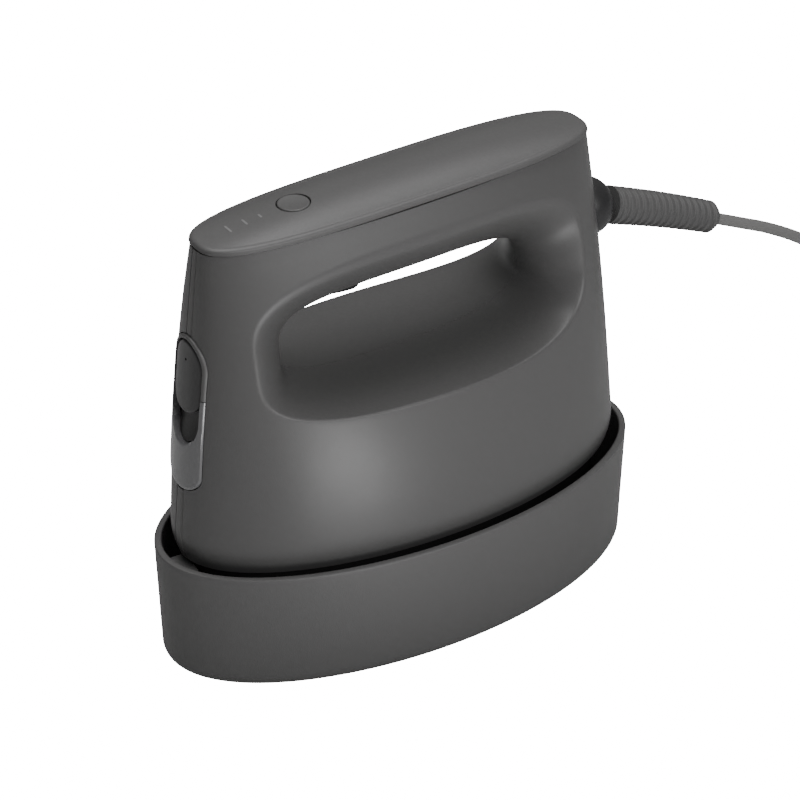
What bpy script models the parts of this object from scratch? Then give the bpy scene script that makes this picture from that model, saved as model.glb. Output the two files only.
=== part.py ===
"""Handheld clothes iron with steam, parked in its open stand.

Frame: metres, +Z up, nose towards -X, cord towards +X, floor at Z = 0 and the
origin under the middle of the stand. All sizes below are in millimetres.
"""
import math

import bmesh
import bpy
import numpy as np

MM = 0.001
GAP = 0.3                                   # clearance between touching pieces

# Driving dimensions: the stand
STAND_A, STAND_B = 85.0, 41.9               # half length and half width at the rim
STAND_TOP = 42.8
STAND_WALL = 2.4
STAND_FLARE = 1.2                           # how much wider the rim is than the foot
STAND_FILLET = 5.0
FOOT_H = 0.8
FLOOR_T = 2.4
MAT_T = 2.0

# Driving dimensions: the body of the iron, lofted between two ovals
BODY_BOTTOM = 41.0
SEAM = 148.8                                # height of the lid seam at X = 0
TILT = 0.031                                # the lid rises towards the cord
BASE_A, BASE_B = 80.3, 37.0
LID_A, LID_B, LID_X = 68.65, 16.1, -1.0
SIDE_BULGE = 7.5
LID_FULLNESS = 2.98                         # exponent of the lid's oval; 2 is an ellipse
EDGE_ROLL, EDGE_ROLL_H = 2.4, 11.0          # the lower edge rolls inwards
WALL = 2.0

# Driving dimensions: the handle opening, its dished recess and the nose cover
DISH_X, DISH_R = -1.7, 58.7
DISH_LOW, DISH_HIGH = 93.0, 139.4
HOLE_X, HOLE_R = 0.1, 44.2
HOLE_LOW, HOLE_HIGH = 92.6, 121.9
DISH_BOW = 1.3
COVER_TOP_Z, COVER_LOW_Z = 108.7, 73.5      # centres of the cover frame's round ends
COVER_W, COVER_TOP_R, COVER_LOW_R = 9.1, 9.7, 6.5
RIM_W = 1.35
SPINE_LOW, SPINE_HIGH = 2.0, 1.2            # half width of the nose strip, below and above

# Driving dimensions: controls, cord exit and cord
BUTTON_X, BUTTON_R = -36.0, 5.0
PIVOT = (70.0, 0.0, 120.5)
COLLAR_R = 9.8
RELIEF_START, RELIEF_END = (79.6, 0.0, 118.2), (122.6, 0.0, 100.9)
RELIEF_SAG = 0.5
RELIEF_R0, RELIEF_R1 = 6.25, 5.35
CORD_D = 4.0
COIL_C = (322.0, 7.0)
COIL_MID_R, COIL_HALF, COIL_LIFT = 24.5, 8.4, 1.6
PLUG = (34.0, 24.0, 15.0)
ROUTE = [
    (123.2, 0.0, 100.5), (134.5, 0.0, 95.4), (147.0, 0.0, 89.6), (161.0, -0.1, 81.5),
    (175.0, -0.9, 71.0), (188.0, -3.0, 58.0), (200.0, -6.4, 43.5), (213.0, -11.0, 28.0),
    (228.0, -16.6, 14.5), (245.0, -22.4, 5.6), (263.0, -26.6, 2.3), (281.0, -27.7, 2.1),
    (295.0, -25.7, 2.2), (306.0, -24.0, 2.5),
]
TAIL = [(329.5, 41.6, 12.0), (322.0, 44.8, 9.6), (315.0, 46.6, 7.8), (306.9, 46.75, 7.5)]
PLUG_AT, PLUG_TURN = (300.0, 46.4), math.radians(183.0)


def clear_scene():
    """Remove every object that the scene holds."""
    for item in list(bpy.data.objects):
        bpy.data.objects.remove(item, do_unlink=True)


def material(name, colour, roughness, metallic=0.0):
    """Return a Principled material with one colour."""
    mat = bpy.data.materials.get(name) or bpy.data.materials.new(name)
    mat.use_nodes = True
    shader = mat.node_tree.nodes["Principled BSDF"]
    shader.inputs["Base Color"].default_value = (*colour, 1.0)
    shader.inputs["Roughness"].default_value = roughness
    shader.inputs["Metallic"].default_value = metallic
    return mat


FINISHES = {
    "shell_grey": ((0.085, 0.085, 0.087), 0.55, 0.0),
    "stand_grey": ((0.066, 0.066, 0.068), 0.6, 0.0),
    "dark_plastic": ((0.03, 0.03, 0.032), 0.5, 0.0),
    "cover_dark": ((0.045, 0.045, 0.047), 0.35, 0.0),
    "smoked_clear": ((0.12, 0.12, 0.125), 0.12, 0.0),
    "soft_rubber": ((0.05, 0.05, 0.052), 0.8, 0.0),
    "cord_grey": ((0.11, 0.11, 0.112), 0.7, 0.0),
    "cast_alloy": ((0.62, 0.62, 0.64), 0.4, 1.0),
    "steel": ((0.6, 0.6, 0.6), 0.3, 1.0),
    "board_green": ((0.02, 0.11, 0.05), 0.5, 0.0),
    "nickel": ((0.7, 0.68, 0.62), 0.25, 1.0),
}


def add_mesh(name, mesh, finish, at=(0.0, 0.0, 0.0), sharp=35.0):
    """Link a mesh as one shaded object; `at` is its origin in millimetres."""
    item = bpy.data.objects.new(name, mesh)
    bpy.context.scene.collection.objects.link(item)
    item.location = [value * MM for value in at]
    mesh.materials.clear()
    mesh.materials.append(material(finish, *FINISHES[finish]))
    mesh.shade_smooth()
    mesh.set_sharp_from_angle(angle=math.radians(sharp))
    return item


def skin(name, rows, finish, closed=False, at=(0.0, 0.0, 0.0), sharp=35.0):
    """Join loops of points into one closed solid.

    Each row is a closed loop of n points, or one point for a pole. With
    closed=True the last row joins the first one; otherwise an end loop gets a cap.
    """
    origin = np.array(at)
    work = bmesh.new()
    loops = []
    for row in rows:
        points = (np.atleast_2d(row) - origin) * MM
        loops.append([work.verts.new(point) for point in points])
    pairs = list(zip(loops, loops[1:]))
    if closed:
        pairs.append((loops[-1], loops[0]))
    for low, high in pairs:
        count = max(len(low), len(high))
        for i in range(count):
            j = (i + 1) % count
            corners = [low[i % len(low)], low[j % len(low)], high[j % len(high)], high[i % len(high)]]
            unique = list(dict.fromkeys(corners))
            if len(unique) > 2:
                work.faces.new(unique)
    if not closed:
        for loop in (loops[0], loops[-1]):
            if len(loop) > 2:
                work.faces.new(loop)
    bmesh.ops.recalc_face_normals(work, faces=work.faces)
    mesh = bpy.data.meshes.new(name)
    work.to_mesh(mesh)
    work.free()
    return add_mesh(name, mesh, finish, at, sharp)


def oval(a, b, z, x=0.0, power=2.0, count=48, tilt=0.0):
    """Return a loop of an oval at height z; power 2 is an ellipse, more is fuller."""
    turn = np.linspace(0.0, 2.0 * math.pi, count, endpoint=False)
    xs = x + a * np.cos(turn)
    ys = b * np.sign(np.sin(turn)) * np.abs(np.sin(turn)) ** (2.0 / power)
    return np.stack([xs, ys, z + tilt * xs], axis=1)


def turned(name, profile, centre, axis, finish, count=20, at=None, sharp=35.0):
    """Turn a profile of (along, radius) about an axis through `centre`."""
    axis = np.array(axis, float) / np.linalg.norm(axis)
    side = np.cross(axis, (0.0, 1.0, 0.0) if abs(axis[1]) < 0.9 else (0.0, 0.0, 1.0))
    side /= np.linalg.norm(side)
    other = np.cross(axis, side)
    turn = np.linspace(0.0, 2.0 * math.pi, count, endpoint=False)[:, None]
    rows = []
    for along, radius in profile:
        middle = np.array(centre) + axis * along
        if radius < 1e-6:
            rows.append(middle[None, :])
        else:
            rows.append(middle + radius * (np.cos(turn) * side + np.sin(turn) * other))
    return skin(name, rows, finish, at=at or (0.0, 0.0, 0.0), sharp=sharp)


def block(name, low, high, finish, bevel=0.4, at=(0.0, 0.0, 0.0)):
    """Make a box between two corners with softened edges."""
    work = bmesh.new()
    bmesh.ops.create_cube(work, size=1.0)
    size = np.array(high) - np.array(low)
    middle = (np.array(high) + np.array(low)) / 2.0 - np.array(at)
    for vert in work.verts:
        vert.co = [(vert.co[i] * size[i] + middle[i]) * MM for i in range(3)]
    if bevel:
        bmesh.ops.bevel(work, geom=work.edges[:], offset=bevel * MM, segments=1, affect="EDGES")
    bmesh.ops.recalc_face_normals(work, faces=work.faces)
    mesh = bpy.data.meshes.new(name)
    work.to_mesh(mesh)
    work.free()
    return add_mesh(name, mesh, finish, at)


def cut(target, tool):
    """Subtract a hidden cutter from an object."""
    change = target.modifiers.new("cut_" + tool.name, "BOOLEAN")
    change.operation = "DIFFERENCE"
    change.solver = "EXACT"
    change.object = tool
    tool.hide_render = True
    tool.display_type = "WIRE"


# The body's surface

def body_section(s, shrink=0.0):
    """Return half length, half width, centre and fullness at height fraction s."""
    a = BASE_A + (LID_A - BASE_A) * s - shrink
    b = BASE_B + (LID_B - BASE_B) * s + SIDE_BULGE * 4.0 * s * (1.0 - s) - shrink
    middle = 0.4 + (LID_X - 0.4) * s - 2.0 * s * (1.0 - s)
    power = 2.0 + (LID_FULLNESS - 2.0) * np.clip(s, 0.0, 1.0) ** 1.5
    return a, b, middle, power


def edge_roll(z):
    """Return how far the wall has rolled inwards at height z near the lower edge."""
    depth = np.clip((BODY_BOTTOM + EDGE_ROLL_H - z) / EDGE_ROLL_H, 0.0, 1.0)
    return EDGE_ROLL * depth ** 2.2


def height_fraction(x, z):
    """Return 0 at the body's lower edge and 1 at the lid seam."""
    return (z - BODY_BOTTOM) / (SEAM + TILT * x - BODY_BOTTOM)


def spine_half(s):
    """Return the half width of the strip at the nose, which narrows upwards."""
    return SPINE_LOW + (SPINE_HIGH - SPINE_LOW) * s


def body_point(p, s, shrink=0.0, side_gap=0.15):
    """Return the wall point for p from nose (-1) to tail (1) and height fraction s.

    The wall starts beside the nose strip and ends beside the mid plane.
    """
    a, b, middle, power = body_section(s, shrink)
    guess = middle + a * -p
    z = BODY_BOTTOM + s * (SEAM + TILT * guess - BODY_BOTTOM)
    roll = edge_roll(z)
    a = a - roll
    b = b - roll
    start = np.arcsin(((spine_half(s) + 0.2) / b) ** (power / 2.0))
    end = np.arcsin((side_gap / b) ** (power / 2.0))
    angle = start + (p + 1.0) / 2.0 * (math.pi - start - end)
    x = middle - a * np.cos(angle)
    y = -b * np.sin(angle) ** (2.0 / power)
    z = BODY_BOTTOM + s * (SEAM + TILT * x - BODY_BOTTOM)
    return np.stack(np.broadcast_arrays(x, y, z), axis=-1)


def side_powers(cx, cz, corners):
    """Pick the superellipse power of the quadrant that a direction points into."""
    nose_low, tail_low, tail_high, nose_high = corners
    low = np.where(cx < 0.0, nose_low, tail_low)
    high = np.where(cx < 0.0, nose_high, tail_high)
    return np.where(cz < 0.0, low, high)


def oval_fraction(x, z, centre_x, half, low, high, corners):
    """Return 1 on the outline of the dish or of the hole, less inside it."""
    top = high + TILT * x
    u = (x - centre_x) / half
    v = (z - (top + low) / 2.0) / ((top - low) / 2.0)
    power = side_powers(u, v, corners)
    return (np.abs(u) ** power + np.abs(v) ** power) ** (1.0 / power)


DISH_CORNERS = (4.8, 3.2, 3.6, 2.9)
HOLE_CORNERS = (3.4, 2.4, 3.4, 4.2)


def hole_point(direction, grow=0.0):
    """Return the mid-plane outline point of the hole for a direction (u, v)."""
    u, v = direction[..., 0], direction[..., 1]
    power = side_powers(u, v, HOLE_CORNERS)
    reach = (np.abs(u) ** power + np.abs(v) ** power) ** (-1.0 / power)
    x = HOLE_X + (HOLE_R + grow) * u * reach
    top = HOLE_HIGH + TILT * x + grow
    low = HOLE_LOW - grow
    z = (top + low) / 2.0 + (top - low) / 2.0 * v * reach
    return x, z


def frame_walk(per_side):
    """Walk round the (p, s) rectangle: lower edge, tail, upper edge, nose."""
    t = np.linspace(0.0, 1.0, per_side[0], endpoint=False)
    q = np.linspace(0.0, 1.0, per_side[1], endpoint=False)
    low = np.stack([-1.0 + 2.0 * t, 0.0 * t], 1)
    tail = np.stack([np.ones_like(q), q], 1)
    high = np.stack([1.0 - 2.0 * t, np.ones_like(t)], 1)
    nose = np.stack([-np.ones_like(q), 1.0 - q], 1)
    return np.concatenate([low, tail, high, nose])


def wall_rows(shrink, grow, per_side, outer_steps, dish_steps):
    """Return loops from the rim of one side wall, into the dish, to the hole's edge."""
    rim = frame_walk(per_side)
    centre = np.array([-0.02, 0.68])
    near = np.zeros(len(rim))
    far = np.ones(len(rim))
    for _ in range(30):
        test = (near + far) / 2.0
        at = centre + (rim - centre) * test[:, None]
        point = body_point(at[:, 0], at[:, 1], shrink)
        inside = oval_fraction(point[:, 0], point[:, 2], DISH_X, DISH_R + grow,
                               DISH_LOW - grow, DISH_HIGH + grow, DISH_CORNERS) < 1.0
        near = np.where(inside, test, near)
        far = np.where(inside, far, test)
    rows = []
    for t in np.linspace(1.0, 0.0, outer_steps):
        scale = near + (1.0 - near) * t
        at = centre + (rim - centre) * scale[:, None]
        rows.append(body_point(at[:, 0], at[:, 1], shrink))
    corner = rows[-1]
    u = (corner[:, 0] - DISH_X) / (DISH_R + grow)
    mid = (DISH_HIGH + DISH_LOW + TILT * corner[:, 0]) / 2.0
    v = (corner[:, 2] - mid) / ((DISH_HIGH - DISH_LOW) / 2.0)
    hole_x, hole_z = hole_point(np.stack([u, v], 1), grow)
    for g in np.linspace(0.0, 1.0, dish_steps + 1)[1:]:
        drawn = (1.0 - (1.0 - g) ** 2) ** (1.0 / DISH_BOW)
        x = corner[:, 0] + (hole_x - corner[:, 0]) * drawn
        z = corner[:, 2] + (hole_z - corner[:, 2]) * drawn
        y = corner[:, 1] * (1.0 - g) - 0.15 * g
        rows.append(np.stack([x, y, z], 1))
    return rows


def side_walls():
    """Make the two side walls, each a thin moulding with half of the handle opening."""
    sides = (21, 9)
    rows = wall_rows(0.0, 0.0, sides, 5, 6) + wall_rows(WALL, WALL, sides, 4, 4)[::-1]
    left = skin("side_shell_left", rows, "shell_grey", closed=True)
    mirrored = [row * np.array([1.0, -1.0, 1.0]) for row in rows]
    right = skin("side_shell_right", mirrored, "shell_grey", closed=True)
    return left, right


def nose_x(y, z, offset=0.0):
    """Return X of the nose surface at (y, z), moved outwards by offset."""
    s = height_fraction(-72.0, z)
    a, b, middle, power = body_section(s)
    roll = edge_roll(z)
    return middle - (a - roll) * np.sqrt(1.0 - np.abs(y / (b - roll)) ** power) - offset


def nose_patch(name, heights, half_width, front, depth, finish, columns=9, at=(0.0, 0.0, 0.0)):
    """Make a plate on the nose surface from rows of constant height."""
    rows = []
    for z in heights:
        y = np.linspace(-half_width(z), half_width(z), columns)
        face = front(z)
        outer = np.stack([nose_x(y, z, face), y, np.full(columns, z)], 1)
        inner = np.stack([nose_x(y, z, face - depth), y, np.full(columns, z)], 1)
        rows.append(np.concatenate([outer, inner[::-1]]))
    return skin(name, rows, finish, at=at)


def nose_strip(name, outer, inner, front, back, finish, columns=2):
    """Make an open band on the nose between two paths of (y, z) points."""
    rows = []
    for first, last in zip(outer, inner):
        t = np.linspace(0.0, 1.0, columns)[:, None]
        line = np.array(first) * (1.0 - t) + np.array(last) * t
        face = np.stack([nose_x(line[:, 0], line[:, 1], front), line[:, 0], line[:, 1]], 1)
        rear = np.stack([nose_x(line[:, 0], line[:, 1], -back), line[:, 0], line[:, 1]], 1)
        rows.append(np.concatenate([face, rear[::-1]]))
    return skin(name, rows, finish)


def round_end(width, radius, middle, turns):
    """Return (y, z) points of a half-oval end; turns in radians from +Y."""
    return [(width * math.cos(turn), middle + radius * math.sin(turn)) for turn in turns]


def nose_cutter():
    """Make the cutter for the opening that holds the cover, frame and window."""
    count = 14
    over = np.linspace(0.0, math.pi, count)
    under = np.linspace(math.pi, 2.0 * math.pi, count)
    outline = round_end(COVER_W + GAP, COVER_TOP_R + GAP, COVER_TOP_Z, over)
    outline += round_end(COVER_W + GAP, COVER_LOW_R + GAP, COVER_LOW_Z, under)
    rows = [[(x, y, z) for y, z in outline] for x in (-90.0, -62.5)]
    return skin("nose_cutter", [np.array(row) for row in rows], "dark_plastic")


def nose_parts():
    """Make the cover frame, tank window, finger scoop, filler cover and its seal."""
    arch = np.linspace(0.0, math.pi, 15)
    foot = COVER_TOP_Z - 8.5
    outer = [(COVER_W, foot)] + round_end(COVER_W, COVER_TOP_R, COVER_TOP_Z, arch) + [(-COVER_W, foot)]
    wide = COVER_W - RIM_W
    inner = [(wide, foot)] + round_end(wide, COVER_TOP_R - RIM_W, COVER_TOP_Z, arch) + [(-wide, foot)]
    nose_strip("filler_frame", outer, inner, 0.7, 1.8, "shell_grey")
    bowl = np.linspace(0.0, -math.pi, 17)
    top = foot - GAP
    outer = [(COVER_W, top)] + round_end(COVER_W, COVER_LOW_R, COVER_LOW_Z, bowl) + [(-COVER_W, top)]
    inner = [(wide, top)] + round_end(wide, 10.0, 92.7, bowl) + [(-wide, top)]
    nose_strip("tank_window", outer, inner, 0.7, 1.8, "smoked_clear", columns=5)

    def scoop_half(z):
        reach = min(0.0, (z - 92.7) / 9.8)
        return (wide - GAP) * math.sqrt(max(0.0, 1.0 - reach * reach)) + 0.1

    def scoop_depth(z):
        return -0.5 - 3.4 * ((z - 83.0) / 16.0) ** 0.8

    heights = 83.0 + 16.0 * np.linspace(0.0, 1.0, 9) ** 1.5
    nose_patch("finger_scoop", heights, scoop_half, scoop_depth, 1.2, "dark_plastic", at=(0.0, 0.0, 0.0))

    def cover_half(z):
        top_part = max(0.0, (z - COVER_TOP_Z) / (COVER_TOP_R - RIM_W - GAP))
        low_part = min(0.0, (z - 99.7) / 6.5)
        reach = top_part + low_part
        return (wide - GAP) * math.sqrt(max(0.0, 1.0 - reach * reach)) + 0.15

    low, high = 93.25, COVER_TOP_Z + COVER_TOP_R - RIM_W - GAP - 0.05
    turn = np.linspace(0.0, math.pi, 15)
    heights = (low + high) / 2.0 - (high - low) / 2.0 * np.cos(turn)
    hinge = (float(nose_x(0.0, 114.0, 0.2)), 0.0, 114.0)
    nose_patch("filler_cover", heights, cover_half, lambda z: 0.2, 1.8, "cover_dark", at=hinge)
    back = float(nose_x(0.0, 106.0)) + 3.0
    rows = [oval_yz(4.6, 4.6, x, 0.0, 106.0) for x in (back, back + 2.2)]
    rows += [oval_yz(3.6, 3.6, x, 0.0, 106.0) for x in (back + 2.6, back + 4.4)]
    skin("filler_seal", rows, "soft_rubber", at=hinge)
    turned("filler_port", [(12.0, 0.0), (12.0, 6.4), (1.0, 6.4), (1.0, 4.9), (10.5, 4.9), (10.5, 0.0)],
           (back, 0.0, 106.0), (1.0, 0.0, 0.0), "dark_plastic", 18)


def oval_yz(half_y, half_z, x, y, z, count=16):
    """Return a loop in a plane of constant X."""
    turn = np.linspace(0.0, 2.0 * math.pi, count, endpoint=False)
    return np.stack([np.full(count, x), y + half_y * np.cos(turn), z + half_z * np.sin(turn)], 1)


def nose_strips():
    """Make the slim strip between the side walls, above and below the cover."""
    def half(z):
        return spine_half(height_fraction(-72.0, z))

    def proud(z):
        return 0.15

    top = SEAM - 72.0 * TILT - 0.05
    above = np.linspace(COVER_TOP_Z + COVER_TOP_R + 2 * GAP, top, 7)
    below = np.linspace(BODY_BOTTOM + 0.1, COVER_LOW_Z - COVER_LOW_R - 2 * GAP, 8)
    nose_patch("nose_strip_upper", above, half, proud, 1.8, "shell_grey", columns=5)
    nose_patch("nose_strip_lower", below, half, proud, 1.8, "shell_grey", columns=5)


# The lid and its controls

def lid_height(rho):
    """Return the lid's height above the seam at a scaled radius rho."""
    return 2.3 + 3.3 * (1.0 - rho ** 2.4)


def lid():
    """Make the domed lid as a thin moulding, with the round hole for the button."""
    def loop(inset, height, rho=1.0):
        return oval((LID_A - inset) * rho, (LID_B - inset) * rho, SEAM + height, LID_X,
                    LID_FULLNESS, 44, TILT)

    rows = [loop(0.0, GAP), loop(0.0, 1.0), loop(0.5, 1.75), loop(1.2, 2.15)]
    rows += [loop(2.0, lid_height(rho), rho) for rho in (1.0, 0.86, 0.68, 0.42)]
    rows += [loop(2.0, lid_height(0.0), 0.0)[:1]]
    rows += [loop(4.2, lid_height(0.0) - 1.8, 0.0)[:1]]
    rows += [loop(4.2, lid_height(rho) - 1.8, rho) for rho in (0.42, 0.68, 0.86, 1.0)]
    rows += [loop(2.4, GAP)]
    top = skin("top_lid", rows, "shell_grey", closed=True)
    tool = turned("button_cutter", [(0.0, BUTTON_R + GAP), (20.0, BUTTON_R + GAP)],
                  (BUTTON_X, 0.0, SEAM - 6.0), (0.0, 0.0, 1.0), "dark_plastic", 28)
    cut(top, tool)


def button():
    """Make the round power button with its stem; it is pressed straight down."""
    rho = abs(BUTTON_X - LID_X) / LID_A
    top = SEAM + TILT * BUTTON_X + lid_height(rho) + 0.1
    profile = [(-4.6, 1.6), (-3.4, 1.6), (-3.4, BUTTON_R), (-0.5, BUTTON_R), (0.0, BUTTON_R - 0.6), (0.0, 0.0)]
    centre = (BUTTON_X, 0.0, top)
    rows = [(-4.6, 0.0)] + profile
    turned("power_button", rows, centre, (0.0, 0.0, 1.0), "shell_grey", 28, at=centre)
    return top


def controls():
    """Make the board under the lid, the two switches and the steam trigger."""
    top = button()
    board_z = 140.6
    block("control_board", (-52.0, -8.5, board_z), (10.0, 8.5, board_z + 1.6), "board_green", 0.0)
    block("button_switch", (BUTTON_X - 3.0, -3.0, board_z + 1.9), (BUTTON_X + 3.0, 3.0, top - 6.2),
          "dark_plastic", 0.3)
    block("trigger_switch", (-27.0, -3.0, 130.5), (-15.0, 3.0, 136.5), "dark_plastic", 0.3)


def trigger():
    """Make the steam trigger, a rounded lever hinged at its nose end."""
    hinge = (-34.5, 0.0, 125.0)
    rows = []
    for t in np.linspace(0.0, 1.0, 9):
        x = -33.2 + 18.2 * t
        low = 120.6 - 2.3 * math.sin(min(1.0, t * 1.15) * math.pi * 0.5) + 1.6 * max(0.0, t - 0.86) / 0.14
        half = 3.9 if t < 0.95 else 3.2
        soft = 1.1
        rows.append(np.array([(x, -half, 127.0), (x, -half, low + soft), (x, -half + soft, low),
                              (x, half - soft, low), (x, half, low + soft), (x, half, 127.0)]))
    skin("steam_trigger", rows, "dark_plastic", at=hinge)


def shell_cutters(left, right):
    """Cut the side walls for the nose cover, the cord collar and the trigger."""
    tools = [nose_cutter()]
    tools.append(turned("collar_cutter", [(0.0, COLLAR_R + 2 * GAP), (34.0, COLLAR_R + 2 * GAP)],
                        (60.0, 0.0, PIVOT[2]), (1.0, 0.0, 0.0), "dark_plastic", 28))
    tools.append(block("trigger_cutter", (-35.4, -4.4, 112.0), (-13.6, 4.4, 128.5), "dark_plastic", 0.0))
    for wall in (left, right):
        for tool in tools:
            cut(wall, tool)


# The heated base

def base():
    """Make the soleplate, steam chamber, heater, heat guard and what sits on them."""
    low = FOOT_H + FLOOR_T + MAT_T + 2 * GAP
    rows = [oval(71.4, 28.4, low), oval(72.6, 29.6, low + 0.9), oval(73.0, 30.0, low + 2.0),
            oval(73.0, 30.0, low + 4.0)]
    plate = skin("soleplate", rows, "steel")
    vents = bmesh.new()
    for ring, count in ((0.5, 6), (0.8, 10)):
        for i in range(count):
            turn = 2.0 * math.pi * (i + 0.5) / count
            spot = (72.0 * ring * math.cos(turn) * MM, 29.0 * ring * math.sin(turn) * MM, 8.0 * MM)
            made = bmesh.ops.create_cone(vents, cap_ends=True, segments=8, radius1=1.5 * MM,
                                         radius2=1.5 * MM, depth=20.0 * MM)
            bmesh.ops.translate(vents, verts=made["verts"], vec=spot)
    mesh = bpy.data.meshes.new("vent_cutter")
    vents.to_mesh(mesh)
    vents.free()
    cut(plate, add_mesh("vent_cutter", mesh, "dark_plastic"))

    z = low + 4.0 + GAP
    skin("steam_chamber", [oval(56.0, 19.0, z, count=32), oval(55.0, 18.0, z + 12.0, count=32)], "cast_alloy")
    skin("chamber_cover", [oval(54.0, 17.0, z + 12.3, count=32), oval(54.0, 17.0, z + 14.0, count=32)], "steel")
    turned("thermostat", [(0.0, 8.0), (7.0, 8.0), (7.0, 4.0), (9.0, 4.0)], (-22.0, 0.0, z + 14.3),
           (0.0, 0.0, 1.0), "dark_plastic", 16)
    turned("thermal_fuse", [(0.0, 2.4), (16.0, 2.4)], (18.0, 0.0, z + 16.9), (1.0, 0.0, 0.0), "cast_alloy", 10)
    bend = np.linspace(math.radians(25.0), math.radians(335.0), 31)
    path = np.stack([60.0 * np.cos(bend), 23.4 * np.sin(bend), np.full(31, z + 3.4)], 1)
    tube("heater_element", path, 3.0, "steel", 8)
    for name, x in (("sole_screw_nose", -66.5), ("sole_screw_tail", 66.5)):
        turned(name, [(0.0, 1.6), (7.0, 1.6), (7.0, 3.0), (9.0, 2.6)], (x, 0.0, z), (0.0, 0.0, 1.0), "steel", 10)
    guard_low = low + 4.0 + GAP
    rows = [oval(72.6, 29.6, guard_low), oval(73.4, 30.4, guard_low + 1.2), oval(74.6, 31.4, 39.0),
            oval(74.6, 31.4, BODY_BOTTOM - GAP), oval(72.6, 29.4, BODY_BOTTOM - GAP),
            oval(71.2, 28.2, guard_low + 1.5), oval(71.0, 28.0, guard_low)]
    skin("heat_guard", rows, "dark_plastic", closed=True)
    rows = [oval(70.6, 27.0, 37.0, count=32), oval(70.6, 27.0, 38.2, count=32),
            oval(52.0, 14.0, 38.2, count=32), oval(52.0, 14.0, 37.0, count=32)]
    skin("heat_shield", rows, "steel", closed=True)


def tube(name, path, radius, finish, sides=8):
    """Sweep a round section along a path of points."""
    path = np.array(path, float)
    heading = np.gradient(path, axis=0)
    heading /= np.linalg.norm(heading, axis=1)[:, None]
    flat = np.array((0.0, 0.0, 1.0)) if abs(heading[0, 2]) < 0.9 else np.array((0.0, 1.0, 0.0))
    turn = np.linspace(0.0, 2.0 * math.pi, sides, endpoint=False)[:, None]
    rows = []
    for point, ahead in zip(path, heading):
        side = np.cross(ahead, flat)
        side /= np.linalg.norm(side)
        rows.append(point + radius * (np.cos(turn) * side + np.sin(turn) * np.cross(side, ahead)))
    return skin(name, rows, finish)


# Inside the body

def inner_parts():
    """Make the water tank, pump, its two tubes, the cord anchor and the terminals."""
    def level(z, half_x, half_y, x):
        return oval(half_x, half_y, z, x, 2.5, 28)

    rows = [level(44.0, 1.0, 1.0, -38.0)[:1] * [1, 0, 1], level(44.0, 26.0, 21.0, -38.0),
            level(47.0, 29.0, 24.0, -38.0), level(66.0, 29.0, 23.0, -38.0), level(83.0, 28.0, 20.5, -38.0),
            level(85.0, 25.0, 17.5, -40.0), level(86.0, 7.5, 6.0, -60.0), level(90.5, 7.0, 5.6, -60.5),
            level(90.5, 5.6, 4.2, -60.5), level(84.6, 6.0, 4.6, -60.0), level(83.4, 23.6, 16.0, -40.0),
            level(81.6, 26.4, 18.9, -38.0), level(66.0, 27.4, 21.4, -38.0), level(48.4, 27.4, 22.4, -38.0),
            level(45.6, 25.0, 20.0, -38.0), level(45.6, 1.0, 1.0, -38.0)[:1] * [1, 0, 1]]
    skin("water_tank", rows, "smoked_clear")
    turned("water_pump", [(0.0, 7.5), (8.0, 7.5), (8.0, 10.0), (34.0, 10.0), (34.0, 5.0), (38.0, 5.0)],
           (10.0, 0.0, 62.0), (1.0, 0.0, 0.0), "dark_plastic", 18)
    bend = np.linspace(0.0, 1.0, 7)[:, None]
    start, end = np.array([(-8.2, 0.0, 56.0)]), np.array([(8.8, 0.0, 60.0)])
    tube("inlet_tube", start + (end - start) * bend + [0.0, 0.0, -3.0] * np.sin(bend * math.pi), 2.0, "soft_rubber", 8)
    turn = np.linspace(0.0, math.pi / 2.0, 7)
    arc = [(48.4, 0.0, 62.0)] + [(49.5 - 13.0 * (1 - math.cos(t)) + 12.0 * math.sin(t), 0.0,
                                  62.0 - 14.0 * (1 - math.cos(t))) for t in turn]
    drop = [(48.5 - 6.0 * t, 0.0, 48.0 - 22.0 * t) for t in np.linspace(0.15, 1.0, 6)]
    tube("outlet_tube", arc + drop, 2.0, "soft_rubber", 8)
    block("cord_anchor", (50.5, -5.0, 115.5), (58.5, 5.0, 125.5), "dark_plastic")
    block("terminal_block", (50.0, -6.0, 98.0), (60.0, 6.0, 107.0), "dark_plastic")


# The cord

def cord_exit():
    """Make the ball collar, which swivels, and the ribbed bend relief in it."""
    profile = [(-6.5, 0.0), (-6.5, 7.2)]
    for turn in np.linspace(math.radians(-40.0), math.radians(90.0 - 36.0), 9):
        profile.append((COLLAR_R * math.sin(turn), COLLAR_R * math.cos(turn)))
    profile += [(COLLAR_R * 0.809, 0.0)]
    turned("cord_collar", profile, PIVOT, (0.93, 0.0, -0.2), "dark_plastic", 24, at=PIVOT)
    start, end = np.array(RELIEF_START), np.array(RELIEF_END)
    ribs, rows = 13, []
    length = np.linalg.norm(end - start)
    for i in range(ribs * 4 + 1):
        t = i / (ribs * 4.0)
        middle = start + (end - start) * t + np.array([0.3, 0.0, 1.0]) * RELIEF_SAG * math.sin(math.pi * t)
        ahead = (end - start) / length + np.array([0.3, 0.0, 1.0]) * RELIEF_SAG * math.pi / length * math.cos(math.pi * t)
        ahead /= np.linalg.norm(ahead)
        up = np.cross(ahead, (0.0, 1.0, 0.0))
        radius = RELIEF_R0 + (RELIEF_R1 - RELIEF_R0) * t - (0.45 if i % 4 in (2, 3) else 0.0)
        turn = np.linspace(0.0, 2.0 * math.pi, 12, endpoint=False)[:, None]
        rows.append(middle + radius * (np.cos(turn) * np.array([0.0, 1.0, 0.0]) + np.sin(turn) * up))
    skin("bend_relief", rows, "soft_rubber", at=PIVOT, sharp=50.0)


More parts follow.
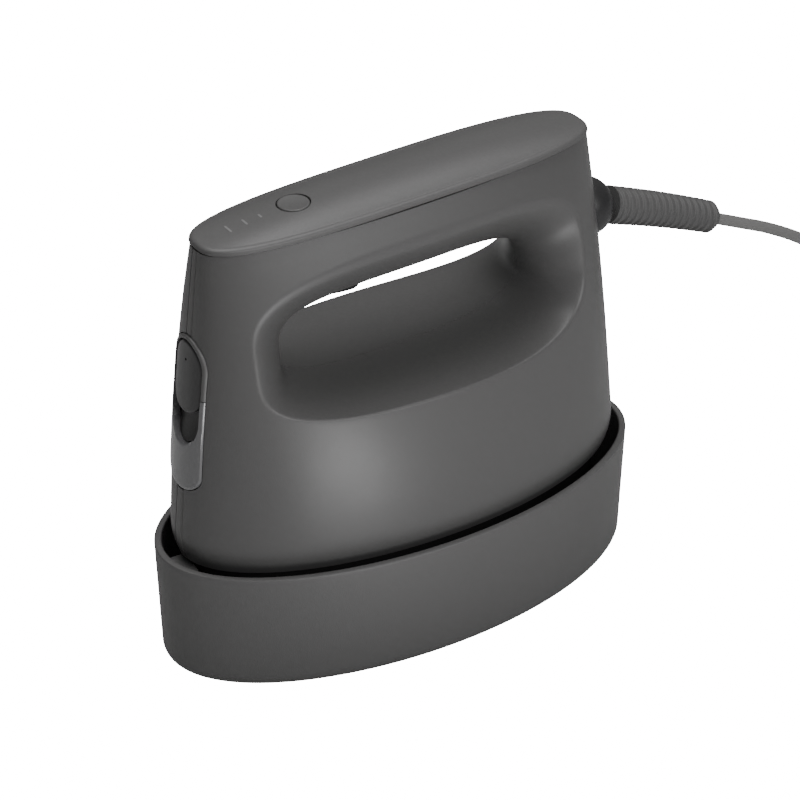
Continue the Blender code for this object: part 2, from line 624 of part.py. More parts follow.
def smooth_path(points, step):
    """Return evenly spaced points of a Catmull-Rom curve through hand-set points."""
    points = np.array(points, float)
    padded = np.vstack([2 * points[0] - points[1], points, 2 * points[-1] - points[-2]])
    dense = []
    for a, b, c, d in zip(padded, padded[1:], padded[2:], padded[3:]):
        t = np.linspace(0.0, 1.0, 20, endpoint=False)[:, None]
        dense.append(0.5 * (2 * b + (c - a) * t + (2 * a - 5 * b + 4 * c - d) * t ** 2
                            + (3 * b - 3 * c + d - a) * t ** 3))
    dense = np.vstack(dense + [points[-1:]])
    along = np.concatenate([[0.0], np.cumsum(np.linalg.norm(np.diff(dense, axis=0), axis=1))])
    count = max(3, int(round(along[-1] / step)) + 1)
    even = np.linspace(0.0, along[-1], count)
    return np.stack([np.interp(even, along, dense[:, i]) for i in range(3)], 1)


def cord_tube(name, points):
    """Make a straight stretch of cord as a bevelled curve with closed ends."""
    curve = bpy.data.curves.new(name, "CURVE")
    curve.dimensions = "3D"
    curve.bevel_depth = CORD_D / 2.0 * MM
    curve.bevel_resolution = 2
    curve.use_fill_caps = True
    path = smooth_path(points, CORD_D * 2.5)
    spline = curve.splines.new("POLY")
    spline.points.add(len(path) - 1)
    for slot, point in zip(spline.points, path):
        slot.co = (*(point * MM), 1.0)
    item = bpy.data.objects.new(name, curve)
    bpy.context.scene.collection.objects.link(item)
    curve.materials.append(material("cord_grey", *FINISHES["cord_grey"]))


def cord_parts():
    """Make the two free stretches, the coil between them, its tie and the plug."""
    cord_tube("power_cord", ROUTE)
    cord_tube("cord_tail", TAIL)
    turn = np.linspace(0.0, 2.0 * math.pi, 12, endpoint=False)
    rows = []
    for t in turn:
        c, s = math.cos(t), math.sin(t)
        radius = COIL_MID_R + COIL_HALF * math.copysign(abs(c) ** 0.75, c)
        height = COIL_LIFT + COIL_HALF * (1.0 + math.copysign(abs(s) ** 0.75, s))
        loop = oval(radius, radius, height, count=36)
        rows.append(loop + [COIL_C[0], COIL_C[1], 0.0])
    skin("cord_coil", rows, "cord_grey", closed=True, sharp=60.0)
    coil_tie()
    plug()


def coil_tie():
    """Make the strap that holds the coil, a flat band round its section."""
    grip, thick, half = COIL_HALF + 2 * GAP, 1.0, 3.0
    turn = np.linspace(0.0, 2.0 * math.pi, 16, endpoint=False)
    out = np.sign(np.cos(turn)) * np.abs(np.cos(turn)) ** 0.75
    up = np.sign(np.sin(turn)) * np.abs(np.sin(turn)) ** 0.75
    rows = []
    for radius, side in ((grip, -1.0), (grip, 1.0), (grip + thick, 1.0), (grip + thick, -1.0)):
        x = COIL_C[0] + COIL_MID_R + radius * out
        z = COIL_LIFT + COIL_HALF + radius * up
        rows.append(np.stack([x, np.full(16, COIL_C[1] + half * side), z], 1))
    skin("coil_tie", rows, "dark_plastic", closed=True)


def plug():
    """Make the two-blade plug that lies flat beside the coil."""
    length, width, height = PLUG
    middle = (PLUG_AT[0], PLUG_AT[1], height / 2.0)
    ahead = np.array([math.cos(PLUG_TURN), math.sin(PLUG_TURN), 0.0])
    across = np.array([-ahead[1], ahead[0], 0.0])
    rows = []
    for t, w, h in ((-6.0, 4.4, 4.4), (0.0, 5.0, 5.0), (6.0, 8.6, 6.8), (14.0, 10.6, 7.5),
                    (length - 8.0, 11.0, 7.5), (length, 12.0, 7.5), (length + 4.0, 12.0, 7.5)):
        loop = oval(w, h, 0.0, 0.0, 4.0, 20)
        rows.append(np.array(middle) + t * ahead + loop[:, :1] * across + loop[:, 1:2] * np.array([0.0, 0.0, 1.0]))
    skin("plug_body", rows, "dark_plastic")
    for name, side in (("plug_blade_left", -1.0), ("plug_blade_right", 1.0)):
        start = np.array(middle) + (length + 4.0 + GAP) * ahead + side * 6.35 * across
        corners = [(-0.75, -3.1), (0.75, -3.1), (0.75, 3.1), (-0.75, 3.1)]
        rows = []
        for t, grow in ((0.0, 1.0), (15.5, 1.0), (16.7, 0.6)):
            rows.append(np.array([start + t * ahead + grow * a * across + grow * b * np.array([0.0, 0.0, 1.0])
                                  for a, b in corners]))
        skin(name, rows, "nickel")


# The stand

def stand():
    """Make the tub, its mat, the locating block at the nose and four feet."""
    z = FOOT_H
    rows = [oval(1.0, 1.0, z)[:1] * [0, 0, 1]]
    for turn in np.linspace(0.0, math.pi / 2.0, 5):
        inset = STAND_FLARE + STAND_FILLET * (1.0 - math.sin(turn))
        rows.append(oval(STAND_A - inset, STAND_B - inset, z + STAND_FILLET * (1.0 - math.cos(turn)), count=52))
    rows.append(oval(STAND_A, STAND_B, STAND_TOP - 0.5, count=52))
    rows.append(oval(STAND_A - 0.5, STAND_B - 0.5, STAND_TOP, count=52))
    rows.append(oval(STAND_A - STAND_WALL + 0.4, STAND_B - STAND_WALL + 0.4, STAND_TOP, count=52))
    rows.append(oval(STAND_A - STAND_WALL, STAND_B - STAND_WALL, STAND_TOP - 0.5, count=52))
    inner = STAND_WALL + STAND_FLARE
    rows.append(oval(STAND_A - inner, STAND_B - inner, z + FLOOR_T + 2.0, count=52))
    rows.append(oval(STAND_A - inner - 2.0, STAND_B - inner - 2.0, z + FLOOR_T, count=52))
    rows.append(oval(1.0, 1.0, z + FLOOR_T)[:1] * [0, 0, 1])
    skin("stand_shell", rows, "stand_grey", sharp=50.0)
    low = z + FLOOR_T + GAP
    rows = [oval(76.0, 33.0, low, count=40), oval(76.0, 33.0, low + MAT_T - 0.4, count=40),
            oval(75.4, 32.4, low + MAT_T, count=40)]
    skin("stand_mat", rows, "soft_rubber")
    block("nose_locator", (-80.0, -5.5, 12.5), (-75.2, 5.5, 38.2), "stand_grey", 0.5)
    for name, x, y in (("foot_nose_left", -52.0, -19.0), ("foot_nose_right", -52.0, 19.0),
                       ("foot_tail_left", 52.0, -19.0), ("foot_tail_right", 52.0, 19.0)):
        turned(name, [(0.0, 0.0), (0.0, 5.0), (FOOT_H - GAP, 5.0), (FOOT_H - GAP, 0.0)], (x, y, 0.0),
               (0.0, 0.0, 1.0), "soft_rubber", 14)


def main():
    """Build the whole object."""
    clear_scene()
    stand()
    left, right = side_walls()
    shell_cutters(left, right)
    nose_strips()
    nose_parts()
    lid()
    controls()
    trigger()
    base()
    inner_parts()
    cord_exit()
    cord_parts()


main()
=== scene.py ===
# %% [markdown]
# # A small handheld steam iron in its stand
# The object is a moulded plastic iron about 155 mm high, with a closed loop handle through its
# body, parked upright in an open oval tub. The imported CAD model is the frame: it gives the place
# of every node and joint. The cells below make the visible pieces round that frame, each as a
# surface worked out with numpy, in millimetres, and put it into Blender in metres.

# %% Load the frame and the tools
import math

import bmesh
import bpy
import numpy as np
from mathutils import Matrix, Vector


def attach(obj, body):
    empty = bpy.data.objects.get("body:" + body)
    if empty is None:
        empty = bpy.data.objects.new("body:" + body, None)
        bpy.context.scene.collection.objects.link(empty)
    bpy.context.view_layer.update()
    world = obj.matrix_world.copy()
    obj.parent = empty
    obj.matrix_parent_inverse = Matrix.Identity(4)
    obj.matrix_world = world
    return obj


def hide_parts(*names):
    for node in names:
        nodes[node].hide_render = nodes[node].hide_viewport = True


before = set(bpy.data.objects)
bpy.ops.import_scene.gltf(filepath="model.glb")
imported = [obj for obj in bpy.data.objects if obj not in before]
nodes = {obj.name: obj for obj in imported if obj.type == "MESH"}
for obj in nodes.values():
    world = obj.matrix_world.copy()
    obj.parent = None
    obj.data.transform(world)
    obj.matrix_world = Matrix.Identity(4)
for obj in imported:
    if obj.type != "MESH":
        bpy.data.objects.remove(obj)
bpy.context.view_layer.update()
MM = 0.001
PI = math.pi

# %% [markdown]
# ## The camera
# The iron is seen from its nose end and its left side, from above. A long lens a metre away
# keeps its upright lines nearly parallel, as a studio picture does. The camera only needs a
# target, two angles and a distance, so it is placed by those and not by trial.

# %% Place the camera
AIM = np.array([1.41, 0.0, 71.15])
AZIMUTH, ELEVATION, DISTANCE, LENS = math.radians(-32.5), math.radians(32.0), 1000.0, 143.03
toward_camera = np.array([
    math.sin(AZIMUTH) * math.cos(ELEVATION),
    -math.cos(AZIMUTH) * math.cos(ELEVATION),
    math.sin(ELEVATION),
])
camera = bpy.data.objects.new("camera", bpy.data.cameras.new("camera"))
bpy.context.scene.collection.objects.link(camera)
camera.data.lens = LENS
camera.data.sensor_width = 36.0
camera.data.clip_start, camera.data.clip_end = 0.05, 20.0
camera.location = (AIM + toward_camera * DISTANCE) * MM
camera.rotation_euler = Vector(toward_camera).to_track_quat("Z", "Y").to_euler()
bpy.context.scene.camera = camera
print("camera at", [round(v, 3) for v in camera.location])

# %% [markdown]
# ## From a grid of numbers to a mesh
# Every new piece is a grid of points: rows run along the piece and columns run round it. The
# columns always join up. The rows either join up too, as on a ring, or end in a single point,
# a pole, which closes the end. One helper puts any such grid into a mesh.

# %% The grid helper
def signed_volume(points, quads):
    """Sum of the volumes of the cones from the origin to each quad; negative if faces point in."""
    a, b, c, d = (points[quads[:, i]] for i in range(4))
    return (np.einsum("ij,ij->i", a, np.cross(b, c)) + np.einsum("ij,ij->i", a, np.cross(c, d))).sum() / 6.0


def grid_mesh(name, rows, ring=False):
    """Join the rows of a grid (rows, columns, 3) in millimetres into one closed mesh in metres."""
    grid = np.asarray(rows, float)
    high, wide = grid.shape[:2]
    points = grid.reshape(-1, 3) * MM
    last = high if ring else high - 1
    r, c = np.meshgrid(np.arange(last), np.arange(wide), indexing="ij")
    r2, c2 = (r + 1) % high, (c + 1) % wide
    quads = np.stack([r * wide + c, r * wide + c2, r2 * wide + c2, r2 * wide + c], -1).reshape(-1, 4)
    if signed_volume(points - points.mean(0), quads) < 0.0:
        quads = quads[:, ::-1]
    mesh = bpy.data.meshes.new(name)
    mesh.vertices.add(len(points))
    mesh.vertices.foreach_set("co", points.ravel())
    mesh.loops.add(quads.size)
    mesh.loops.foreach_set("vertex_index", quads.ravel())
    mesh.polygons.add(len(quads))
    mesh.polygons.foreach_set("loop_start", np.arange(len(quads)) * 4)
    mesh.update(calc_edges=True)
    work = bmesh.new()
    work.from_mesh(mesh)
    bmesh.ops.remove_doubles(work, verts=work.verts, dist=1e-6)
    bmesh.ops.dissolve_degenerate(work, edges=work.edges, dist=1e-7)
    work.to_mesh(mesh)
    work.free()
    return mesh


def add_piece(name, mesh, material, body, stands_for=(), sharp=40.0):
    """Link a mesh as a finished piece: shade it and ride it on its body."""
    piece = bpy.data.objects.new(name, mesh)
    bpy.context.scene.collection.objects.link(piece)
    mesh.materials.clear()
    mesh.materials.append(material)
    mesh.shade_smooth()
    mesh.set_sharp_from_angle(angle=math.radians(sharp))
    if stands_for:
        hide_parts(*stands_for)
    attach(piece, body)
    print(f"{name}: {len(mesh.polygons)} faces on {body}")
    return piece


def ends_closed(rows):
    """Add each end row's middle as a pole, so that an open tube of rows becomes a closed solid."""
    rows = np.asarray(rows, float)
    first = np.broadcast_to(rows[0].mean(0), rows[0].shape)
    last = np.broadcast_to(rows[-1].mean(0), rows[-1].shape)
    return np.concatenate([first[None], rows, last[None]])

# %% [markdown]
# ## Effects that many finishes share
# Moulded plastic is never quite even. Its steel mould is spark-eroded or blasted, which leaves a
# fine grain, and hands leave faint smears that change the gloss. Dust settles on what faces up,
# and rolled metal keeps fine lines. Each effect is a shader node group with named sockets, built
# once, so each material places it with its own values.

# %% Shared shader node groups
def new_group(name, inputs, outputs):
    """Make a shader node group; inputs are (name, default), outputs are names."""
    group = bpy.data.node_groups.new(name, "ShaderNodeTree")
    for label, value in inputs:
        socket = group.interface.new_socket(name=label, in_out="INPUT", socket_type="NodeSocketFloat")
        socket.default_value = value
    for label in outputs:
        group.interface.new_socket(name=label, in_out="OUTPUT", socket_type="NodeSocketFloat")
    return group, group.nodes.new("NodeGroupInput"), group.nodes.new("NodeGroupOutput")


def math_node(tree, operation, first, second=None, clamp=False):
    """Add a Math node; each operand is a socket or a number, and the output is its value."""
    node = tree.nodes.new("ShaderNodeMath")
    node.operation = operation
    node.use_clamp = clamp
    for index, value in enumerate((first, second)):
        if isinstance(value, (int, float)):
            node.inputs[index].default_value = value
        elif value is not None:
            tree.links.new(value, node.inputs[index])
    return node.outputs[0]


def noise_node(tree, vector, scale, detail=2.0, roughness=0.5):
    """Add a Noise Texture on the given coordinates; scale is a socket or a number."""
    node = tree.nodes.new("ShaderNodeTexNoise")
    tree.links.new(vector, node.inputs["Vector"])
    if isinstance(scale, (int, float)):
        node.inputs["Scale"].default_value = scale
    else:
        tree.links.new(scale, node.inputs["Scale"])
    node.inputs["Detail"].default_value = detail
    node.inputs["Roughness"].default_value = roughness
    return node.outputs["Fac"]


def object_coordinates(tree):
    """Add a Texture Coordinate node and return its Object output."""
    return tree.nodes.new("ShaderNodeTexCoord").outputs["Object"]


def make_grain_group():
    """Mould grain: cells for the pits plus fine noise; gives Height and a Fleck mask."""
    inputs = [("Grain per metre", 4000.0), ("Unevenness", 0.3)]
    group, given, out = new_group("mould_grain", inputs, ["Height", "Fleck"])
    at = object_coordinates(group)
    cells = group.nodes.new("ShaderNodeTexVoronoi")
    cells.feature = "SMOOTH_F1"
    group.links.new(at, cells.inputs["Vector"])
    group.links.new(given.outputs["Grain per metre"], cells.inputs["Scale"])
    fine = noise_node(group, at, math_node(group, "MULTIPLY", given.outputs["Grain per metre"], 1.7), 3.0, 0.6)
    rough = math_node(group, "MULTIPLY", fine, given.outputs["Unevenness"])
    group.links.new(math_node(group, "ADD", cells.outputs["Distance"], rough), out.inputs["Height"])
    group.links.new(math_node(group, "SUBTRACT", fine, 0.5), out.inputs["Fleck"])
    return group


def make_smear_group():
    """Faint hand smears: broad noise with its contrast raised; gives a Smear mask 0 to 1."""
    group, given, out = new_group("hand_smears", [("Smears per metre", 22.0), ("Strength", 0.5)], ["Smear"])
    at = object_coordinates(group)
    broad = noise_node(group, at, given.outputs["Smears per metre"], 4.0, 0.62)
    lifted = math_node(group, "MULTIPLY", math_node(group, "SUBTRACT", broad, 0.5), 3.0)
    centred = math_node(group, "ADD", lifted, 0.5, clamp=True)
    group.links.new(math_node(group, "MULTIPLY", centred, given.outputs["Strength"]), out.inputs["Smear"])
    return group


def make_dust_group():
    """Settled dust: faces that look up, broken by noise; gives a Dust mask 0 to 1."""
    group, given, out = new_group("settled_dust", [("Amount", 0.15), ("Specks per metre", 900.0)], ["Dust"])
    geometry = group.nodes.new("ShaderNodeNewGeometry")
    split = group.nodes.new("ShaderNodeSeparateXYZ")
    group.links.new(geometry.outputs["Normal"], split.inputs[0])
    upward = math_node(group, "POWER", math_node(group, "MAXIMUM", split.outputs["Z"], 0.0), 3.0)
    specks = noise_node(group, object_coordinates(group), given.outputs["Specks per metre"], 3.0, 0.7)
    broken = math_node(group, "MULTIPLY", upward, specks)
    group.links.new(math_node(group, "MULTIPLY", broken, given.outputs["Amount"]), out.inputs["Dust"])
    return group


def make_brushed_group():
    """Rolled or brushed lines: noise stretched along X; gives a Line height."""
    group, given, out = new_group("brushed_lines", [("Lines per metre", 2500.0)], ["Line"])
    stretch = group.nodes.new("ShaderNodeMapping")
    stretch.inputs["Scale"].default_value = (0.03, 1.0, 1.0)
    group.links.new(object_coordinates(group), stretch.inputs["Vector"])
    lines = noise_node(group, stretch.outputs[0], given.outputs["Lines per metre"], 3.0, 0.7)
    group.links.new(lines, out.inputs["Line"])
    return group


GRAIN, SMEARS, DUST, BRUSHED = make_grain_group(), make_smear_group(), make_dust_group(), make_brushed_group()
print("groups:", [g.name for g in bpy.data.node_groups])

# %% [markdown]
# ## The finishes
# The iron and its stand are one family of dark grey plastic. A finish here is a base colour with
# small changes in tone, a roughness that the grain and the smears move up and down, and a bump
# from the grain. The smoked window and the metals are variations of the same recipe.

# %% Material builders
def use_group(tree, group, **values):
    """Place a shared node group and set its inputs by name; underscores stand for spaces."""
    node = tree.nodes.new("ShaderNodeGroup")
    node.node_tree = group
    for label, value in values.items():
        node.inputs[label.replace("_", " ")].default_value = value
    return node


def mix_colour(tree, mask, first, second):
    """Mix two colours by a mask; a colour is a tuple or a socket."""
    node = tree.nodes.new("ShaderNodeMix")
    node.data_type = "RGBA"
    tree.links.new(mask, node.inputs["Factor"])
    for label, value in (("A", first), ("B", second)):
        socket = [s for s in node.inputs if s.name == label and s.type == "RGBA"][0]
        if isinstance(value, tuple):
            socket.default_value = (*value, 1.0)
        else:
            tree.links.new(value, socket)
    return [s for s in node.outputs if s.type == "RGBA"][0]


def finish(name, colour, roughness, metallic=0.0, grain=3800.0, depth=0.00002, smear=0.5, dust=0.1,
           tone=0.12, brushed=False, specular=0.5, coat=0.0):
    """Build a Principled material from the shared groups.

    Colour is darkened or lightened by the grain's flecks, roughness follows grain and smears,
    and the grain's height feeds a Bump node whose distance is the depth in metres.
    """
    made = bpy.data.materials.new(name)
    made.use_nodes = True
    tree = made.node_tree
    shader = tree.nodes["Principled BSDF"]
    shader.inputs["Metallic"].default_value = metallic
    shader.inputs["Specular IOR Level"].default_value = specular
    shader.inputs["Coat Weight"].default_value = coat
    shader.inputs["Coat Roughness"].default_value = 0.15
    grains = use_group(tree, GRAIN, Grain_per_metre=grain)
    smears = use_group(tree, SMEARS, Strength=smear)
    dusty = use_group(tree, DUST, Amount=dust)
    dark = tuple(c * (1.0 - tone) for c in colour)
    light = tuple(min(1.0, c * (1.0 + tone)) for c in colour)
    fleck = math_node(tree, "ADD", grains.outputs["Fleck"], 0.5, clamp=True)
    base = mix_colour(tree, fleck, dark, light)
    base = mix_colour(tree, dusty.outputs["Dust"], base, (0.35, 0.34, 0.33))
    tree.links.new(base, shader.inputs["Base Color"])
    gloss = math_node(tree, "MULTIPLY", math_node(tree, "SUBTRACT", smears.outputs["Smear"], 0.25), -0.10)
    rough = math_node(tree, "ADD", math_node(tree, "ADD", gloss, roughness),
                      math_node(tree, "MULTIPLY", grains.outputs["Fleck"], 0.12), clamp=True)
    tree.links.new(rough, shader.inputs["Roughness"])
    height = grains.outputs["Height"]
    if brushed:
        height = use_group(tree, BRUSHED).outputs["Line"]
    bump = tree.nodes.new("ShaderNodeBump")
    bump.inputs["Distance"].default_value = depth
    bump.inputs["Strength"].default_value = 1.0
    tree.links.new(height, bump.inputs["Height"])
    tree.links.new(bump.outputs["Normal"], shader.inputs["Normal"])
    return made

# %% [markdown]
# The body's grey is warm and even, with a soft satin sheen. The stand is the same plastic with a
# slightly rougher grain. The cover is smoother, and the cord and its relief are soft and matte.

# %% The plastics, rubbers and metals
SHELL = finish("satin_grey_shell", (0.084, 0.083, 0.083), 0.4, depth=0.000012, tone=0.07)
LID = finish("satin_grey_lid", (0.095, 0.094, 0.094), 0.44, depth=0.000012, tone=0.07)
STAND = finish("grained_grey_stand", (0.095, 0.094, 0.094), 0.52, grain=3000.0, depth=0.00002, tone=0.08,
               dust=0.15)
BLACK_PLASTIC = finish("black_satin_plastic", (0.016, 0.016, 0.017), 0.42, depth=0.00001)
COLLAR = finish("collar_black", (0.02, 0.02, 0.021), 0.4, depth=0.00001)
COVER = finish("cover_smooth_grey", (0.025, 0.025, 0.026), 0.36, depth=0.000006, tone=0.05, smear=0.8,
               coat=0.1)
SCOOP = finish("scoop_black", (0.012, 0.012, 0.012), 0.35, depth=0.00001)
VENT = finish("vent_shadow_black", (0.001, 0.001, 0.001), 0.9, specular=0.0, dust=0.0)
MARKS = finish("printed_mark_grey", (0.2, 0.2, 0.2), 0.5, depth=0.000002)
GUARD = finish("heat_guard_black", (0.02, 0.02, 0.02), 0.55, grain=2500.0, depth=0.00003)
MAT = finish("silicone_mat", (0.02, 0.02, 0.021), 0.7, grain=1500.0, depth=0.00004, dust=0.3)
RELIEF = finish("relief_soft_grey", (0.085, 0.084, 0.084), 0.6, grain=2500.0, depth=0.00002, tone=0.1)
CORD = finish("cord_soft_grey", (0.17, 0.168, 0.166), 0.55, grain=2200.0, depth=0.00003, tone=0.1)
NICKEL = finish("nickel_plate", (0.72, 0.69, 0.62), 0.22, metallic=1.0, depth=0.000004, tone=0.04, brushed=True)
ALLOY = finish("cast_alloy", (0.55, 0.55, 0.57), 0.48, metallic=1.0, grain=1500.0, depth=0.00006, tone=0.15)
STEEL = finish("rolled_steel", (0.58, 0.58, 0.58), 0.3, metallic=1.0, depth=0.00001, tone=0.08, brushed=True)
BOARD = finish("board_green", (0.02, 0.1, 0.045), 0.42, grain=600.0, depth=0.00002, tone=0.3)
TUBES = finish("silicone_tube", (0.35, 0.34, 0.32), 0.45, depth=0.00001)


def smoked(name, colour, clear):
    """Smoked clear plastic: glossy, partly transmitting, with faint water marks in its gloss."""
    made = finish(name, colour, 0.12, depth=0.000003, tone=0.03, smear=0.9, dust=0.02, coat=0.4)
    made.node_tree.nodes["Principled BSDF"].inputs["Transmission Weight"].default_value = clear
    return made


WINDOW = smoked("smoked_window", (0.16, 0.16, 0.165), 0.15)
TANK = smoked("smoked_tank", (0.3, 0.3, 0.31), 0.5)
print("materials:", len(bpy.data.materials))

# %% [markdown]
# ## The cord
# The flexible cord is 4 mm thick. It leaves in line with the bend relief, drops to the table,
# and the rest is wound up for storage. A cord is one line with a round section, so it is a path
# first. Listed points give the free stretches, and a Catmull-Rom curve smooths them.

# %% The cord's free route
CORD_D = 4.0
ROUTE = np.array([
    (123.2, 0.0, 100.5), (134.5, 0.0, 95.4), (147.0, 0.0, 89.6), (161.0, -0.1, 81.5),
    (175.0, -0.9, 71.0), (188.0, -3.0, 58.0), (200.0, -6.4, 43.5), (213.0, -11.0, 28.0),
    (228.0, -16.6, 14.5), (245.0, -22.4, 5.6), (263.0, -26.6, 2.3), (281.0, -27.7, 2.1),
    (295.0, -25.7, 2.2), (306.0, -24.0, 2.5),
])
COIL_C, COIL_MID_R, COIL_HALF, COIL_LIFT = np.array([322.0, 7.0]), 24.5, 8.4, 1.6
TAIL = np.array([(329.5, 41.6, 12.0), (322.0, 44.8, 9.6), (315.0, 46.6, 7.8), (306.9, 46.75, 7.5)])


def smooth_path(points, step):
    """Catmull-Rom curve through the points, then read at even steps along its length."""
    padded = np.vstack([2 * points[0] - points[1], points, 2 * points[-1] - points[-2]])
    a, b, c, d = padded[:-3, None], padded[1:-2, None], padded[2:-1, None], padded[3:, None]
    t = np.linspace(0.0, 1.0, 24, endpoint=False)[None, :, None]
    dense = 0.5 * (2 * b + (c - a) * t + (2 * a - 5 * b + 4 * c - d) * t**2 + (3 * b - 3 * c + d - a) * t**3)
    dense = np.vstack([dense.reshape(-1, 3), points[-1:]])
    along = np.concatenate([[0.0], np.cumsum(np.linalg.norm(np.diff(dense, axis=0), axis=1))])
    even = np.linspace(0.0, along[-1], max(3, int(along[-1] / step) + 1))
    return np.stack([np.interp(even, along, dense[:, i]) for i in range(3)], 1)

# %% [markdown]
# The coil is wound in rows of three, four, four and three turns. One turn lies in one slot of
# that pattern, and in the last two fifths of each round it slides to the next slot. Where it
# climbs to the next row it swings a little sideways, so that the turns keep clear of each other.

# %% The wound coil
PITCH = 4.1
SLIDE_PART = 0.4


def coil_slots():
    """Offsets (outwards, upwards) of the turns, row by row, each row run the other way round."""
    across = [np.array([1.0, 0.0, -1.0]), np.array([-1.5, -0.5, 0.5, 1.5])]
    across += [across[1][::-1], across[0][::-1]]
    rows = [np.stack([x * PITCH, np.full(len(x), (r - 1.5) * PITCH)], 1) for r, x in enumerate(across)]
    return np.concatenate(rows)


def coil_path(start, end, step):
    """Turn round the coil's middle from one angle to another while sliding from slot to slot."""
    slots = coil_slots()
    angle = np.arange(start, end, step / COIL_MID_R)
    turn = (angle - start) / (2 * PI)
    at = np.minimum(turn.astype(int), len(slots) - 1)
    after = np.minimum(at + 1, len(slots) - 1)
    slide = np.clip((turn - at - (1.0 - SLIDE_PART)) / SLIDE_PART, 0.0, 1.0)
    slide = slide * slide * (3.0 - 2.0 * slide)
    place = slots[at] + (slots[after] - slots[at]) * slide[:, None]
    climbs = slots[after, 1] > slots[at, 1] + 0.1
    steps_over = np.abs(slots[at, 0] - slots[after, 0]) > 0.1
    swing = np.where(steps_over, 2.4, 1.4) * np.sign(slots[at, 0] + slots[after, 0])
    place[:, 0] += np.where(climbs, swing * np.sin(PI * slide), 0.0)
    radius = COIL_MID_R + place[:, 0]
    height = COIL_LIFT + COIL_HALF + place[:, 1]
    return np.stack([COIL_C[0] + radius * np.cos(angle), COIL_C[1] + radius * np.sin(angle), height], 1)


winding = coil_path(math.radians(-78.0), math.radians(45.0) + 13 * 2 * PI, 4.5)
join_in = np.array([(316.5, -22.2, 3.2)])
join_out = np.array([(336.8, 34.2, 15.4)])
cord_points = np.vstack([ROUTE, join_in, winding, join_out, TAIL])
cord_path = smooth_path(cord_points, 2.0)
CORD_LENGTH = float(np.linalg.norm(np.diff(cord_path, axis=0), axis=1).sum()) * MM
print("cord length m:", round(CORD_LENGTH, 3), "points:", len(cord_path))

# %% [markdown]
# A tube carries a circle along the path. The circle needs two directions square to the path at
# every point, and they must not spin, so the sideways one is kept level wherever possible.

# %% Tubes along a path
def path_frame(path):
    """Heading by central differences, a level side direction, and up square to both."""
    heading = np.gradient(path, axis=0)
    heading /= np.linalg.norm(heading, axis=1)[:, None]
    side = np.cross(heading, np.array([0.0, 0.0, 1.0]))
    side /= np.linalg.norm(side, axis=1)[:, None]
    return heading, side, np.cross(side, heading)


def tube_rows(path, radius, columns=16):
    """Circle of the given radius (one number or one per point) square to the path at each point."""
    heading, side, up = path_frame(path)
    turn = np.linspace(0.0, 2 * PI, columns, endpoint=False)
    radius = np.broadcast_to(radius, len(path))[:, None, None]
    c, s = np.cos(turn)[None, :, None], np.sin(turn)[None, :, None]
    return path[:, None] + radius * (c * side[:, None] + s * up[:, None])


cord_mesh = grid_mesh("mains_cord", ends_closed(tube_rows(cord_path, CORD_D / 2, 12)))
cord = add_piece("mains_cord", cord_mesh, CORD, "iron", ("power_cord", "cord_coil", "cord_tail"),
                 sharp=60.0)

# %% [markdown]
# ## The strap, the plug and its blades
# A flat strap goes once round the coil's section. The plug is a soft moulding that swells from
# the cord to a flat-sided grip with finger ridges, and two flat blades stand out of its end.

# %% The coil's strap
def power_oval(turn, power):
    """Unit superellipse: cosine and sine raised to 2 / power, keeping their signs."""
    c, s = np.cos(turn), np.sin(turn)
    return np.sign(c) * np.abs(c) ** (2.0 / power), np.sign(s) * np.abs(s) ** (2.0 / power)


def make_strap():
    """Carry a thin rounded band section round the superellipse of the coil's section."""
    turn = np.linspace(0.0, 2 * PI, 96, endpoint=False)
    out, up = power_oval(turn, 2.67)
    band = np.linspace(0.0, 2 * PI, 20, endpoint=False)
    thick, across = power_oval(band, 5.0)
    grip = COIL_HALF + 1.1 + 0.45 * thick
    x = COIL_C[0] + COIL_MID_R + out[:, None] * grip
    z = COIL_LIFT + COIL_HALF + up[:, None] * grip
    y = COIL_C[1] + 3.0 * across[None] + 0.0 * x
    return np.stack([x, y, z], -1)


strap = add_piece("coil_strap", grid_mesh("coil_strap", make_strap(), ring=True), BLACK_PLASTIC, "iron",
                  ("coil_tie",))

# %% The plug
PLUG_AT, PLUG_TURN, PLUG_MID = np.array([300.0, 46.4]), math.radians(183.0), 7.5
plug_ahead = np.array([math.cos(PLUG_TURN), math.sin(PLUG_TURN), 0.0])
plug_across = np.array([-plug_ahead[1], plug_ahead[0], 0.0])


def make_plug():
    """Superellipse sections along the plug; half sizes run between a few stations and carry ridges."""
    at = [-6.0, 0.0, 6.0, 14.0, 26.0, 34.0, 37.2, 37.9]
    t = np.linspace(at[0], at[-1], 120)
    half_w = np.interp(t, at, [3.3, 4.4, 8.2, 10.4, 10.8, 12.0, 12.0, 11.3])
    half_h = np.interp(t, at, [3.3, 4.2, 6.4, 7.3, 7.2, 7.5, 7.5, 6.9])
    ridge = np.clip(np.sin((t - 10.0) * 2 * PI / 3.2), 0.0, 1.0) * ((t > 10.0) & (t < 24.0)) * 0.45
    half_w = half_w - ridge
    turn = np.linspace(0.0, 2 * PI, 48, endpoint=False)
    w, h = power_oval(turn, 3.6)
    middle = np.array([PLUG_AT[0], PLUG_AT[1], PLUG_MID]) + t[:, None] * plug_ahead
    across = (half_w[:, None] * w)[..., None] * plug_across
    return middle[:, None] + across + (half_h[:, None] * h)[..., None] * np.array([0.0, 0.0, 1.0])


plug_mesh = grid_mesh("plug_grip", ends_closed(make_plug()))
plug = add_piece("plug_grip", plug_mesh, BLACK_PLASTIC, "iron", ("plug_body",))

# %% [markdown]
# ## The body's surface
# Seen from above, the body is an oval: 160 mm by 74 mm at its foot, and a slim full oval under
# the lid. Between them it is lofted: length, width and fullness are functions of the height
# fraction s, 0 at the foot and 1 at the lid's seam. The sides swell a little on the way, and
# the seam climbs gently towards the cord. These formulas are the ones that the CAD uses.

